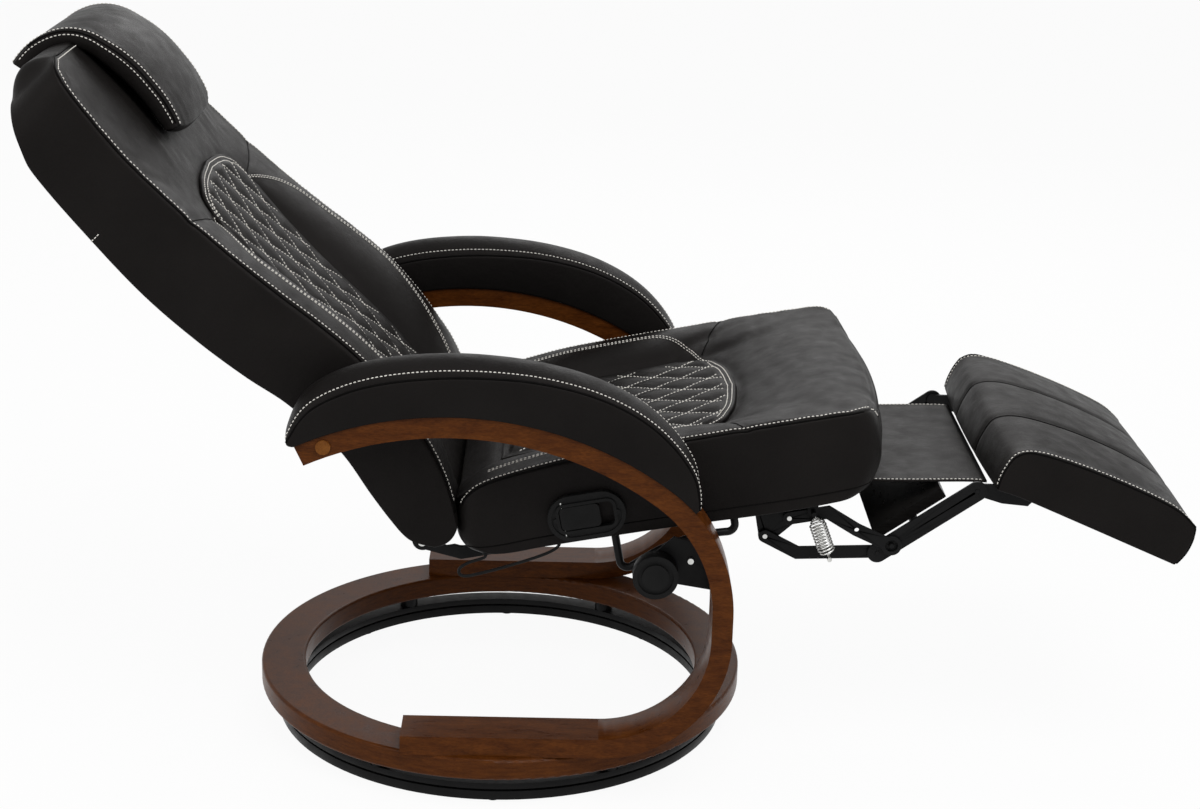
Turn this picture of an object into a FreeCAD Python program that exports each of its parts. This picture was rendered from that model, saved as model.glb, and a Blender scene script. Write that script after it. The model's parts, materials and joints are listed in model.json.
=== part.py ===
import FreeCAD, Part
import math
import os
import re

# Swivel recliner, shown reclined with the footrest out.
# Frame: millimetres, origin on the floor at the swivel axis, +X to the sitter's front,
# +Y to the sitter's left, +Z up.

Vector = FreeCAD.Vector
SIDES = (("right", -1), ("left", 1))

DIMENSIONS = {
    # base rings and their ball race
    "glide_height": 3, "glide_radius": 9, "glide_count": 8,
    "race_outer_radius": 307, "race_width": 26, "floor_ring_height": 12, "top_ring_height": 8,
    "race_gap": 3, "ball_radius": 4, "ball_clearance": 0.06, "ball_count": 24,
    "cage_thickness": 1.6, "cage_width": 14, "cage_clearance": 0.15,
    "spacer_height": 15.6, "spacer_radius": 13, "spacer_angle": 60, "stud_radius": 3, "stud_depth": 4.5,
    "ring_outer_radius": 330, "ring_width": 60, "ring_height": 29.4, "ring_edge_round": 4,
    # bent-wood C frames
    "frame_gap": 522, "frame_width": 60, "frame_stock": 26,
    "rail_rear": 117, "rail_front": 132, "rail_taper_length": 89, "rail_taper_depth": 19,
    "lower_bend_radius": 162, "upright_height": 33.7, "upper_bend_radius": 204.7,
    "shoulder_angle": 36.9, "arm_radius": 445, "arm_rear_angle": 24.9, "pivot_angle": 20.7,
    "frame_bolt_x": 75, "frame_bolt_radius": 4, "frame_bolt_head": 7, "frame_bolt_depth": 19,
    "frame_bolt_head_height": 5.4,
    # arm pads
    "arm_pad_width": 70, "arm_pad_height": 60, "arm_pad_crown": 13, "arm_pad_overhang": 16,
    "arm_pad_rear_angle": 18.3, "arm_pad_front_angle": 31.5, "arm_pad_tip_angle": 48.2,
    "arm_pad_nose": 16, "seat_gap": 0.1,
    # back pivot
    "pivot_bolt_radius": 5, "pivot_cap_radius": 9, "pivot_cap_height": 3, "pivot_bush_radius": 8,
    "pivot_flange_radius": 11, "running_fit": 0.05, "side_clearance": 0.3,
    # back cushion, in the back's own axes from the pivot
    "back_recline": 45.5, "back_half_width": 250, "back_above": 560, "back_below": 204,
    "back_lumbar": 87, "back_waist": 66, "back_rear_depth": 41, "back_crown": 5, "back_dish": 25,
    "back_rear_crown": 8, "back_side_draw": 5, "back_tuck": 26, "back_tuck_length": 40, "back_hem": 2,
    "back_swell_at": 95, "back_swell_rise": 34, "back_lumbar_at": 40, "back_waist_at": 300,
    "back_top_drop": 28, "back_top_rise": 32, "back_top_forward": 52, "back_nape_drop": 46, "back_nape": 38,
    "back_rear_full_at": 270, "back_rear_hollow_at": 60, "back_rear_hollow": 21, "back_rear_pivot_at": 25,
    "back_rear_pivot": 25, "back_rear_low_at": 100, "back_rear_low": 15, "back_rear_hem": 32,
    "back_rear_hem_rise": 8, "cushion_edge": 12, "bolster_share": 0.35,
    "back_plate_knee_at": 150, "back_plate_bend_at": 100, "back_plate_top_at": 400, "back_plate_forward": 8,
    "back_plate_top_forward": 10, "back_low_tube_at": 120, "back_low_tube_forward": 12,
    "back_plate_width": 26, "back_plate_thickness": 8, "back_plate_gap": 372, "back_tube_radius": 9,
    "pillow_half_width": 118, "pillow_thickness": 50, "pillow_drop": 190, "pillow_swell": 10,
    "pillow_bulge": 12, "pillow_bulge_at": 92, "pillow_roll": 16, "pillow_top_forward": 64, "pillow_lip": 22,
    "pillow_lip_drop": 20, "pillow_end": 14,
    # seat cushion, in the seat's own axes from its rear lower corner
    "seat_rear_x": -6, "seat_rear_z": 317, "seat_tilt": 10.9, "seat_length": 501, "seat_depth": 110,
    "seat_half_width": 250, "seat_dish": 22, "seat_side_draw": 5, "seat_corner_draw": 30,
    "seat_front_low": 46, "seat_front_round": 13, "seat_front_full": 50, "seat_front_lip": 14,
    "seat_front_rise": 4, "seat_middle_at": 270, "seat_rear_at": 72, "seat_rear_drop": 9,
    "seat_rear_edge": 81, "seat_heel": 20, "seat_heel_reach": 31,
    "seat_board_thickness": 12, "seat_board_half_width": 243, "seat_board_front": 418,
    "seat_board_rear": 5,
    "seat_hinge_x": -97, "seat_hinge_z": 310, "hinge_plate_thickness": 6, "hinge_plate_width": 16,
    "hinge_pin_radius": 5, "hinge_plate_drop": 12, "hinge_plate_reach": 70, "hinge_plate_bend_at": 44,
    # quilted panels
    "quilt_height": 5, "quilt_base": 2, "quilt_groove": 3, "quilt_corner": 75, "quilt_arch": 16,
    "quilt_diamond_width": 50, "quilt_diamond_length": 76, "quilt_border": 6,
    "back_quilt_half_width": 130, "back_quilt_low_half_width": 106, "back_quilt_low": -95,
    "back_quilt_high": 322, "seat_quilt_half_width": 146, "seat_quilt_low_half_width": 126,
    "seat_quilt_low": 30, "seat_quilt_high": 337,
    # recline clamp and slide rod
    "clamp_x": 198, "clamp_z": 303, "clamp_plate_thickness": 3, "clamp_bush_radius": 7,
    "clamp_stud_radius": 4, "knob_radius": 28.5, "knob_length": 20, "knob_stand_off": 4, "knob_hub_radius": 12,
    "knob_boss_radius": 17, "knob_rim": 6, "knob_dish_depth": 3,
    "rod_radius": 5, "rod_spread": 235, "recline_travel": 25, "rod_bend_radius": 10,
    "rod_run": 34, "rod_front_run": 14, "rod_spare_angle": 2, "clamp_bush_overrun": 3,
    "plate_bolt_radius": 2.5, "plate_bolt_head": 3.8, "plate_bolt_head_height": 4.5, "plate_screw_depth": 20,
    # release handle in the seat's right side
    "bezel_length": 98, "bezel_height": 60, "bezel_thickness": 7, "bezel_x": 111, "bezel_z": 372,
    "bezel_rim_width": 5, "bezel_lip": 4, "bezel_recess": 2.2, "bezel_screw_radius": 3, "bezel_screw_inset": 10,
    "opening_length": 68, "opening_height": 32, "opening_corner": 7, "tray_depth": 17,
    "tray_wall": 2,
    "paddle_length": 50, "paddle_thickness": 5, "paddle_clearance": 1, "paddle_pin_radius": 1.5,
    # release cable
    "cable_radius": 2, "gland_radius": 4.5, "gland_height": 4.5,
    # footrest linkage
    "link_bracket_gap": 352, "link_thickness": 4, "link_gap": 1, "link_width": 17,
    "front_link_width": 26, "link_pin_radius": 3, "open_pin_clearance": 5, "eye_wall": 5,
    "lower_link_x": 341, "lower_link_z": 322, "upper_link_x": 370, "upper_link_z": 351,
    "knee_x": 486, "knee_z": 304, "footrest_hinge_x": 608, "footrest_hinge_z": 391,
    "knee_offset": 20.8, "cross_bar_radius": 6,
    "mid_board_length": 104, "mid_board_thickness": 14, "mid_board_half_width": 165, "cross_bar_reach": 60,
    "spring_radius": 9, "spring_wire": 1.25, "spring_turns": 12, "spring_spread": 208,
    "spring_top_x": 399, "spring_top_z": 364, "spring_foot_x": 422, "spring_foot_z": 303,
    "spring_peg_radius": 3, "spring_tab_width": 14,
    "flap_half_width": 158, "flap_thickness": 3, "flap_front_x": 617, "flap_front_z": 398,
    "flap_rear_x": 424, "flap_fold_x": 476, "flap_fold_z": 395,
    # footrest pad, in its own axes from its rear lower corner
    "foot_x": 620, "foot_z": 400, "foot_tilt": 22.5, "foot_length": 266, "foot_thickness": 74,
    "foot_half_width": 217, "foot_crown": 10, "foot_channel": 6, "foot_channel_y": 74,
    "foot_side_draw": 4, "foot_board_thickness": 9, "foot_board_half_width": 200,
    "foot_low": 5, "foot_channel_bank": 16, "foot_board_inset": 15, "foot_board_front_inset": 20,
}

doc = FreeCAD.newDocument("recliner")
sheet = doc.addObject("Spreadsheet::Sheet", "Sizes")
for row, (alias, value) in enumerate(DIMENSIONS.items(), start=1):
    sheet.set(f"A{row}", alias.replace("_", " "))
    sheet.set(f"B{row}", str(value))
    sheet.setAlias(f"B{row}", alias)
doc.recompute()

sub_parts = []


def size(alias):
    """The value of one cell of the sheet."""
    return float(sheet.get(alias))


def bind(obj, **sizes):
    """Bind an object's sizes to the sheet, each written as a sum or product of cells."""
    for name, text in sizes.items():
        obj.setExpression(name, re.sub(r"[a-z]\w+", r"Sizes.\g<0>", text))
    return obj


def sub_part(obj, label):
    """Name a finished object as a sub-part of its own."""
    obj.Label = label
    sub_parts.append(obj)
    return obj


def solid_feature(name, shape):
    """A solid whose outline only lofts or sweeps can make."""
    obj = doc.addObject("Part::Feature", name)
    obj.Shape = shape
    obj.Placement = FreeCAD.Placement()
    return obj


def cylinder(name, radius, height, base, direction=Vector(0, 0, 1)):
    obj = bind(doc.addObject("Part::Cylinder", name), Radius=radius, Height=height)
    obj.Placement = FreeCAD.Placement(base, FreeCAD.Rotation(Vector(0, 0, 1), direction))
    return obj


def cut(name, base, *tools):
    """The base with every tool taken out of it."""
    for count, tool in enumerate(tools, start=1):
        obj = doc.addObject("Part::Cut", f"{name}_cut{count}")
        obj.Base = base
        obj.Tool = tool
        base = obj
    return base


def fuse(name, *pieces):
    obj = doc.addObject("Part::MultiFuse", name)
    obj.Shapes = list(pieces)
    return obj


def group(name, *pieces):
    """Separate solids kept together under one name."""
    obj = doc.addObject("Part::Compound", name)
    obj.Links = list(pieces)
    return obj


def ring(name, outer, width, height, base_z):
    """A flat ring about the swivel axis."""
    body = cylinder(f"{name}_disc", outer, height, Vector(0, 0, base_z))
    bore = cylinder(f"{name}_bore", f"{outer} - {width}", height, Vector(0, 0, base_z))
    return cut(name, body, bore)


class Outline:
    """A closed outline of lines and arcs in the XZ plane."""

    def __init__(self, start):
        self.start = start
        self.at = start
        self.pieces = []

    def line(self, *points):
        for point in points:
            self.pieces.append((self.at, point))
            self.at = point
        return self

    def arc(self, through, to):
        self.pieces.append((self.at, through, to))
        self.at = to
        return self

    def close(self):
        if math.dist(self.at, self.start) > 1e-6:
            self.line(self.start)
        return self

    def curves(self, lift):
        made = []
        for piece in self.pieces:
            points = [lift(point) for point in piece]
            made.append(Part.Arc(*points) if len(points) == 3 else Part.LineSegment(*points))
        return made

    def wire(self, y):
        edges = [curve.toShape() for curve in self.curves(lambda p: Vector(p[0], y, p[1]))]
        return Part.Wire(edges)

    def sketch_curves(self):
        """The same curves for a sketch, where every arc runs anticlockwise."""
        turned = Outline(self.start)
        for piece in self.pieces:
            if len(piece) == 3:
                (ax, az), (bx, bz), (cx, cz) = piece
                left_turn = (bx - ax) * (cz - az) - (bz - az) * (cx - ax) > 0
                piece = piece if left_turn else piece[::-1]
            turned.pieces.append(piece)
        return turned.curves(lambda p: Vector(p[0], p[1], 0))


def plate(name, outline, holes, thickness, y_centre):
    """A flat piece cut to an outline in the XZ plane, with round holes, centred on y."""
    body = doc.addObject("PartDesign::Body", name)
    sketch = body.newObject("Sketcher::SketchObject", f"{name}_sketch")
    upright = [plane for plane in body.Origin.OriginFeatures if plane.Role == "XZ_Plane"]
    sketch.AttachmentSupport = (upright[0], [""])
    sketch.MapMode = "FlatFace"
    sketch.addGeometry(outline.sketch_curves(), False)
    for (x, z), radius in holes:
        sketch.addGeometry(Part.Circle(Vector(x, z, 0), Vector(0, 0, 1), radius), False)
    pad = body.newObject("PartDesign::Pad", f"{name}_pad")
    pad.Profile = sketch
    pad.Midplane = True
    bind(pad, Length=thickness)
    body.Placement = FreeCAD.Placement(Vector(0, y_centre, 0), FreeCAD.Rotation())
    return body


def polar(centre, radius, degrees):
    """A point at an angle to the front of straight up from a centre."""
    angle = math.radians(degrees)
    return (centre[0] + radius * math.sin(angle), centre[1] + radius * math.cos(angle))


def axes(origin, tilt):
    """A function from a piece's own length and height to the XZ plane."""
    along = (math.cos(math.radians(tilt)), math.sin(math.radians(tilt)))

    def to_plane(length, height):
        x = origin[0] + length * along[0] - height * along[1]
        z = origin[1] + length * along[1] + height * along[0]
        return (x, z)

    return to_plane


def offset_line(points, distance):
    """The points of a bent line moved sideways, mitred at the bends."""
    moved = []
    for index, (x, z) in enumerate(points):
        before = points[max(index - 1, 0)]
        after = points[min(index + 1, len(points) - 1)]
        turn_in = math.atan2(z - before[1], x - before[0]) if index else None
        turn_out = math.atan2(after[1] - z, after[0] - x) if index < len(points) - 1 else None
        turn_in = turn_out if turn_in is None else turn_in
        turn_out = turn_in if turn_out is None else turn_out
        middle = (turn_in + turn_out) / 2
        reach = distance / math.cos((turn_out - turn_in) / 2)
        moved.append((x - reach * math.sin(middle), z + reach * math.cos(middle)))
    return moved


def bar_outline(points, width):
    """A flat bar with round ends along a bent line."""
    left = offset_line(points, width / 2)
    right = offset_line(points, -width / 2)
    ends = []
    for end, beside in ((points[-1], points[-2]), (points[0], points[1])):
        span = math.dist(end, beside)
        reach = width / 2 / span
        ends.append((end[0] + (end[0] - beside[0]) * reach, end[1] + (end[1] - beside[1]) * reach))
    outline = Outline(left[0]).line(*left[1:]).arc(ends[0], right[-1])
    return outline.line(*right[-2::-1]).arc(ends[1], left[0])


def mirrored(pairs):
    """Sections from the middle outwards, laid out from one side to the other."""
    right_side = [(-y, section) for y, section in reversed(pairs) if y > 0]
    return right_side + pairs


def loft(sections):
    """A solid through outlines that stand at the given places across the width."""
    return Part.makeLoft([outline.wire(y) for y, outline in sections], True, True)


def rounded_path(points, radii):
    """Straight runs through points, joined by arcs of the given radii."""
    edges = []
    at = points[0]
    for index, radius in enumerate(radii, start=1):
        corner = points[index]
        into = (corner - points[index - 1]).normalize()
        out = (points[index + 1] - corner).normalize()
        turn = into.getAngle(out)
        reach = radius * math.tan(turn / 2)
        first = corner - into * reach
        last = corner + out * reach
        inward = (out - into).normalize()
        middle = corner + inward * (radius / math.cos(turn / 2) - radius)
        edges.append(Part.LineSegment(at, first).toShape())
        edges.append(Part.Arc(first, middle, last).toShape())
        at = last
    edges.append(Part.LineSegment(at, points[-1]).toShape())
    return Part.Wire(edges)


def tube_along(path, radius):
    """A round bar along a path."""
    first = path.Edges[0]
    start = first.valueAt(first.FirstParameter)
    section = Part.Wire(Part.makeCircle(radius, start, first.tangentAt(first.FirstParameter)))
    return path.makePipeShell([section], True, False)


# Base: floor ring on glides, ball race, turning ring, spacers and the wooden ring.

race_radius = size("race_outer_radius") - size("race_width") / 2
floor_ring_z = size("glide_height")
ball_z = floor_ring_z + size("floor_ring_height") + size("race_gap") / 2
top_ring_z = ball_z + size("race_gap") / 2
spacer_z = top_ring_z + size("top_ring_height")
wood_z = spacer_z + size("spacer_height")
frame_z = wood_z + size("ring_height")
frame_y = size("frame_gap") / 2 + size("frame_width") / 2


def around(count, radius, z):
    """Points evenly round the swivel axis."""
    step = 2 * math.pi / count
    return [Vector(radius * math.cos(i * step), radius * math.sin(i * step), z) for i in range(count)]


def race_groove(name):
    groove = doc.addObject("Part::Torus", name)
    bind(groove, Radius1="race_outer_radius - race_width / 2", Radius2="ball_radius + ball_clearance")
    groove.Placement = FreeCAD.Placement(Vector(0, 0, ball_z), FreeCAD.Rotation())
    return groove


def spacer_points(z):
    angle = math.radians(size("spacer_angle"))
    x = race_radius * math.cos(angle)
    y = race_radius * math.sin(angle)
    return [Vector(x * i, y * j, z) for i in (-1, 1) for j in (-1, 1)]


def frame_bolt_points(z):
    x = size("frame_bolt_x")
    return [Vector(x * i, frame_y * j, z) for i in (-1, 1) for j in (-1, 1)]


def cylinders(name, radius, height, points):
    return [cylinder(f"{name}{i}", radius, height, point) for i, point in enumerate(points)]


glides = cylinders("glide", "glide_radius", "glide_height", around(int(size("glide_count")), race_radius, 0))
sub_part(group("Glides", *glides), "floor_glides")

floor_disc = ring("FloorRing", "race_outer_radius", "race_width", "floor_ring_height", floor_ring_z)
sub_part(cut("FloorRingGrooved", floor_disc, race_groove("FloorGroove")), "floor_ring")

ball_points = around(int(size("ball_count")), race_radius, ball_z)
balls = []
for i, point in enumerate(ball_points):
    ball = bind(doc.addObject("Part::Sphere", f"ball{i}"), Radius="ball_radius")
    ball.Placement = FreeCAD.Placement(point, FreeCAD.Rotation())
    balls.append(ball)
sub_part(group("Balls", *balls), "bearing_balls")

cage_z = ball_z - size("cage_thickness") / 2
cage_disc = cylinder("CageDisc", "race_outer_radius - race_width / 2 + cage_width / 2", "cage_thickness",
                     Vector(0, 0, cage_z))
cage_bore = cylinder("CageBore", "race_outer_radius - race_width / 2 - cage_width / 2", "cage_thickness",
                     Vector(0, 0, cage_z))
cage_pockets = group("CagePockets", *cylinders("pocket", "ball_radius + cage_clearance", "cage_thickness",
                                               [Vector(p.x, p.y, cage_z) for p in ball_points]))
sub_part(cut("Cage", cage_disc, cage_bore, cage_pockets), "ball_cage")

stud_z = spacer_z - size("stud_depth")
stud_height = "spacer_height + 2 * stud_depth"
studs = group("Studs", *cylinders("stud", "stud_radius", stud_height, spacer_points(stud_z)))
stud_holes = group("StudHoles", *cylinders("stud_hole", "stud_radius", stud_height, spacer_points(stud_z)))
sub_part(studs, "ring_studs")
top_disc = ring("TopRing", "race_outer_radius", "race_width", "top_ring_height", top_ring_z)
sub_part(cut("TopRingGrooved", top_disc, race_groove("TopGroove"), stud_holes), "top_ring")
spacers = group("Spacers", *cylinders("spacer", "spacer_radius", "spacer_height", spacer_points(spacer_z)))
sub_part(cut("SpacersDrilled", spacers, stud_holes), "ring_spacers")

bolt_heads = cylinders("bolt_head", "frame_bolt_head", "frame_bolt_head_height", frame_bolt_points(wood_z))
bolt_shanks = cylinders("bolt_shank", "frame_bolt_radius", "ring_height + frame_bolt_depth",
                        frame_bolt_points(wood_z))
bolts = [fuse(f"FrameBolt{i}", *pair) for i, pair in enumerate(zip(bolt_heads, bolt_shanks))]
frame_bolts = sub_part(group("FrameBolts", *bolts), "frame_bolts")
wood_disc = ring("WoodRing", "ring_outer_radius", "ring_width", "ring_height", wood_z)
doc.recompute()
wood_round = doc.addObject("Part::Fillet", "WoodRingRound")
wood_round.Base = wood_disc
round_edges = [i for i, edge in enumerate(wood_disc.Shape.Edges, start=1) if edge.BoundBox.ZLength < 1e-6]
wood_round.Edges = [(i, size("ring_edge_round"), size("ring_edge_round")) for i in round_edges]
sub_part(cut("WoodRingDrilled", wood_round, stud_holes, frame_bolts), "wood_ring")

# Bent-wood C frames, one each side, and the points that their arcs give.

front_x = size("rail_front") + size("lower_bend_radius")
lower_centre = (size("rail_front"), frame_z + size("lower_bend_radius"))
upright_top_z = lower_centre[1] + size("upright_height")
upper_centre = (front_x - size("upper_bend_radius"), upright_top_z)
shoulder = size("shoulder_angle")
shoulder_point = polar(upper_centre, size("upper_bend_radius"), shoulder)
arm_centre = polar(shoulder_point, -size("arm_radius"), shoulder)
pivot = polar(arm_centre, size("arm_radius") - size("frame_stock") / 2, -size("pivot_angle"))
clamp = (size("clamp_x"), size("clamp_z"))
wood_bolt = (clamp[0] + 76, clamp[1] - 8)


def frame_edge(outline, inset):
    """The C from the rail to the arm's rear end, along its outer edge or inset from it."""
    lower_radius = size("lower_bend_radius") - inset
    upper_radius = size("upper_bend_radius") - inset
    arm_radius = size("arm_radius") - inset
    rear = size("arm_rear_angle")
    quarter, half = 90, 45
    outline.line((size("rail_front"), frame_z + inset))
    outline.arc(polar(lower_centre, lower_radius, quarter + half), polar(lower_centre, lower_radius, quarter))
    outline.line((front_x - inset, upright_top_z))
    outline.arc(polar(upper_centre, upper_radius, (quarter + shoulder) / 2),
                polar(upper_centre, upper_radius, shoulder))
    outline.arc(polar(arm_centre, arm_radius, (shoulder - rear) / 2), polar(arm_centre, arm_radius, -rear))
    return outline


def frame_outline():
    outer = frame_edge(Outline((-size("rail_rear"), frame_z)), 0)
    inner = frame_edge(Outline((-size("rail_rear"), frame_z + size("frame_stock"))), size("frame_stock"))
    outer.line(inner.at)
    for piece in inner.pieces[::-1]:
        outer.pieces.append(piece[::-1])
        outer.at = piece[0]
    return outer.close()


def rail_taper(name, side):
    """The wedge taken off the rail's outer face at its rear end."""
    face_y = side * (size("frame_gap") / 2 + size("frame_width"))
    rear_x = -size("rail_rear")
    reach = size("rail_taper_depth")
    points = [Vector(rear_x, face_y - side * reach, 0), Vector(rear_x + size("rail_taper_length"), face_y, 0),
              Vector(rear_x, face_y + side * reach, 0)]
    face = Part.Face(Part.makePolygon(points + points[:1]))
    wedge = face.extrude(Vector(0, 0, size("frame_stock") + 2 * reach))
    wedge.translate(Vector(0, 0, frame_z - reach))
    return solid_feature(name, wedge)


def arm_pad_outline(crown):
    """The pad's side: it sits on the arm, overhangs its rear end and runs out down the front bend."""
    gap = size("seat_gap")
    base = size("arm_radius") + gap
    top = base + size("arm_pad_height") + crown
    rear = size("arm_rear_angle")
    rear_top = size("arm_pad_rear_angle")
    front = size("arm_pad_front_angle")
    nose = size("arm_pad_nose")
    tip = polar(upper_centre, size("upper_bend_radius") + gap, size("arm_pad_tip_angle"))
    tip_over = polar(upper_centre, size("upper_bend_radius") + nose, size("arm_pad_tip_angle") - 2)
    front_top = polar(arm_centre, top, front)
    front_middle = polar(arm_centre, (top + base + nose) / 2 + nose / 2, (front + shoulder + 6) / 2 + 1)
    rear_bulge = polar(arm_centre, base + size("arm_pad_height") * 0.45, -rear - size("arm_pad_overhang") / 8)
    outline = Outline(polar(arm_centre, base, -rear))
    outline.arc(rear_bulge, polar(arm_centre, top - crown * 0.4, -rear_top - 1.5))
    outline.arc(polar(arm_centre, top, (front - rear_top) / 2), front_top)
    outline.arc(front_middle, tip_over)
    outline.line(tip)
    shoulder_base = polar(upper_centre, size("upper_bend_radius") + gap, shoulder)
    tip_middle = (shoulder + size("arm_pad_tip_angle")) / 2
    outline.arc(polar(upper_centre, size("upper_bend_radius") + gap, tip_middle), shoulder_base)
    outline.arc(polar(arm_centre, base, (shoulder - rear) / 2), polar(arm_centre, base, -rear))
    return outline


def arm_pad_shape():
    half = size("arm_pad_width") / 2
    crown = size("arm_pad_crown")
    steps = ((0.0, 1.0), (0.45, 0.85), (0.8, 0.4), (1.0, 0.0))
    return loft(mirrored([(half * reach, arm_pad_outline(crown * share)) for reach, share in steps]))


for side_name, side in SIDES:
    near_y = side * frame_y - size("frame_width") / 2
    pivot_hole = cylinder(f"pivot_hole_{side_name}", "pivot_bolt_radius", "frame_width",
                          Vector(pivot[0], near_y, pivot[1]), Vector(0, 1, 0))
    frame = plate(f"Frame_{side_name}", frame_outline(), [], "frame_width", side * frame_y)
    taper = rail_taper(f"Taper_{side_name}", side)
    screw_start = Vector(wood_bolt[0], side * size("frame_gap") / 2, wood_bolt[1])
    screw_hole = cylinder(f"screw_hole_{side_name}", "plate_bolt_radius", "plate_screw_depth", screw_start,
                          Vector(0, side, 0))
    shaped = cut(f"FrameShaped_{side_name}", frame, taper, pivot_hole, frame_bolts, screw_hole)
    sub_part(shaped, f"arm_frame_{side_name}")
    pad = solid_feature(f"ArmPad_{side_name}", arm_pad_shape())
    pad.Placement = FreeCAD.Placement(Vector(0, side * frame_y, 0), FreeCAD.Rotation())
    sub_part(pad, f"arm_pad_{side_name}")

# Back pivot: bolts through the arms with wooden caps, turning in bushes welded to the back's frame.

frame_inner = size("frame_gap") / 2
frame_outer = frame_inner + size("frame_width")
plate_outer = size("back_plate_gap") / 2 + size("back_plate_thickness")
pivot_x, pivot_z = pivot


def outward(side):
    return Vector(0, side, 0)


pivot_bolts = []
pivot_caps = []
for side_name, side in SIDES:
    start = Vector(pivot_x, side * size("back_plate_gap") / 2, pivot_z)
    bolt = cylinder(f"pivot_bolt_{side_name}", "pivot_bolt_radius",
                    "frame_gap / 2 + frame_width - back_plate_gap / 2", start, outward(side))
    cap = cylinder(f"pivot_cap_{side_name}", "pivot_cap_radius", "pivot_cap_height",
                   Vector(pivot_x, side * frame_outer, pivot_z), outward(side))
    pivot_bolts.append(bolt)
    pivot_caps.append(cap)
sub_part(group("PivotBolts", *pivot_bolts), "pivot_bolts")
sub_part(group("PivotCaps", *pivot_caps), "pivot_caps")

bushes = []
for side_name, side in SIDES:
    start = Vector(pivot_x, side * plate_outer, pivot_z)
    reach = "frame_gap / 2 - back_plate_gap / 2 - back_plate_thickness - side_clearance"
    tube = cylinder(f"bush_tube_{side_name}", "pivot_bush_radius", reach, start, outward(side))
    flange_y = side * (size("back_half_width") + 1)
    flange = cylinder(f"bush_flange_{side_name}", "pivot_flange_radius",
                      "frame_gap / 2 - back_half_width - 1 - side_clearance",
                      Vector(pivot_x, flange_y, pivot_z), outward(side))
    bore = cylinder(f"bush_bore_{side_name}", "pivot_bolt_radius + running_fit", reach, start, outward(side))
    bushes.append(cut(f"Bush_{side_name}", fuse(f"BushBlank_{side_name}", tube, flange), bore))
pivot_bushes = sub_part(group("PivotBushes", *bushes), "pivot_bushes")

# Back frame: two flat side plates from the seat hinge up past the pivot, tied by cross tubes.

seat_hinge = (size("seat_hinge_x"), size("seat_hinge_z"))
back_axes = axes(pivot, size("back_recline") + 90)


def back_point(up, forward):
    """A point of the back from the pivot, up along it and forward out of it."""
    return back_axes(up, -forward)


plate_knee = back_point(-size("back_plate_knee_at"), size("back_plate_forward"))
plate_bend = back_point(size("back_plate_bend_at"), size("back_plate_forward"))
plate_top = back_point(size("back_plate_top_at"), size("back_plate_top_forward"))
low_tube = back_point(-size("back_low_tube_at"), size("back_low_tube_forward"))
tube_points = (low_tube, plate_bend, plate_top)
back_plate_points = [seat_hinge, plate_knee, pivot, plate_bend, plate_top]
frame_pieces = []
for side_name, side in SIDES:
    holes = [(pivot, size("pivot_bolt_radius") + size("running_fit")),
             (seat_hinge, size("hinge_pin_radius"))]
    y_centre = side * (size("back_plate_gap") / 2 + size("back_plate_thickness") / 2)
    back_bar = bar_outline(back_plate_points, size("back_plate_width"))
    frame_pieces.append(plate(f"BackPlate_{side_name}", back_bar, holes, "back_plate_thickness", y_centre))
for i, (x, z) in enumerate(tube_points):
    frame_pieces.append(cylinder(f"back_tube{i}", "back_tube_radius", "back_plate_gap",
                                 Vector(x, -size("back_plate_gap") / 2, z), Vector(0, 1, 0)))
back_frame = sub_part(fuse("BackFrame", *frame_pieces), "back_frame")

# Back cushion: side bolsters round a hollow middle, a crowned head end and a slightly crowned rear.


def back_front_edge(dish, crown, lift):
    """The front of the back from the tucked lower end to the top: swell, lumbar, waist and head end."""
    tuck_up = -size("back_below") + size("back_tuck_length")
    swell = size("back_tuck") + size("back_swell_rise") - dish * size("bolster_share") / 2
    waist = size("back_waist") + crown
    edge = Outline(back_point(tuck_up, size("back_tuck") + lift))
    edge.arc(back_point(-size("back_swell_at"), swell + lift),
             back_point(size("back_lumbar_at"), size("back_lumbar") - dish + lift))
    return edge.arc(back_point(size("back_waist_at"), waist + lift),
                    back_point(size("back_above") - size("back_top_drop"),
                               waist + size("back_top_rise") + lift))


def back_outline(dish, crown, rear_crown, draw):
    """Section of the back: its front edge, rolled top, full rear and tucked lower end."""
    above = size("back_above") - draw
    below = size("back_below") - draw
    rear = -size("back_rear_depth") - rear_crown + draw
    hem = -size("back_hem")
    front = back_front_edge(dish, crown, -draw)
    outline = Outline(back_point(-below, hem)).line(front.start)
    outline.pieces += front.pieces
    outline.at = front.at
    outline.arc(back_point(above, size("back_top_forward")),
                back_point(above - size("back_nape_drop"), rear + size("back_nape")))
    outline.arc(back_point(size("back_rear_full_at"), rear),
                back_point(size("back_rear_hollow_at"), rear + size("back_rear_hollow")))
    outline.arc(back_point(-size("back_rear_pivot_at"), rear + size("back_rear_pivot")),
                back_point(-size("back_rear_low_at"), rear + size("back_rear_low")))
    outline.arc(back_point(-below + size("back_rear_hem"), rear + size("back_rear_hem_rise")),
                back_point(-below, hem))
    return outline


def back_cushion_shape():
    half = size("back_half_width")
    crown = size("back_crown")
    rear_crown = size("back_rear_crown")
    dish = size("back_dish")
    bolster = size("bolster_share")
    flat = size("back_quilt_half_width") + size("quilt_border")
    edge = half - size("cushion_edge")
    middle = (flat + edge) / 2
    pairs = [(0, back_outline(dish, crown, rear_crown, 0)),
             (flat, back_outline(dish, crown, rear_crown, 0)),
             (middle, back_outline(dish * bolster, crown * bolster, rear_crown * (1 - bolster), 0)),
             (edge, back_outline(0, 0, 0, 0)),
             (half, back_outline(0, 0, 0, size("back_side_draw")))]
    return loft(mirrored(pairs))


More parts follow.
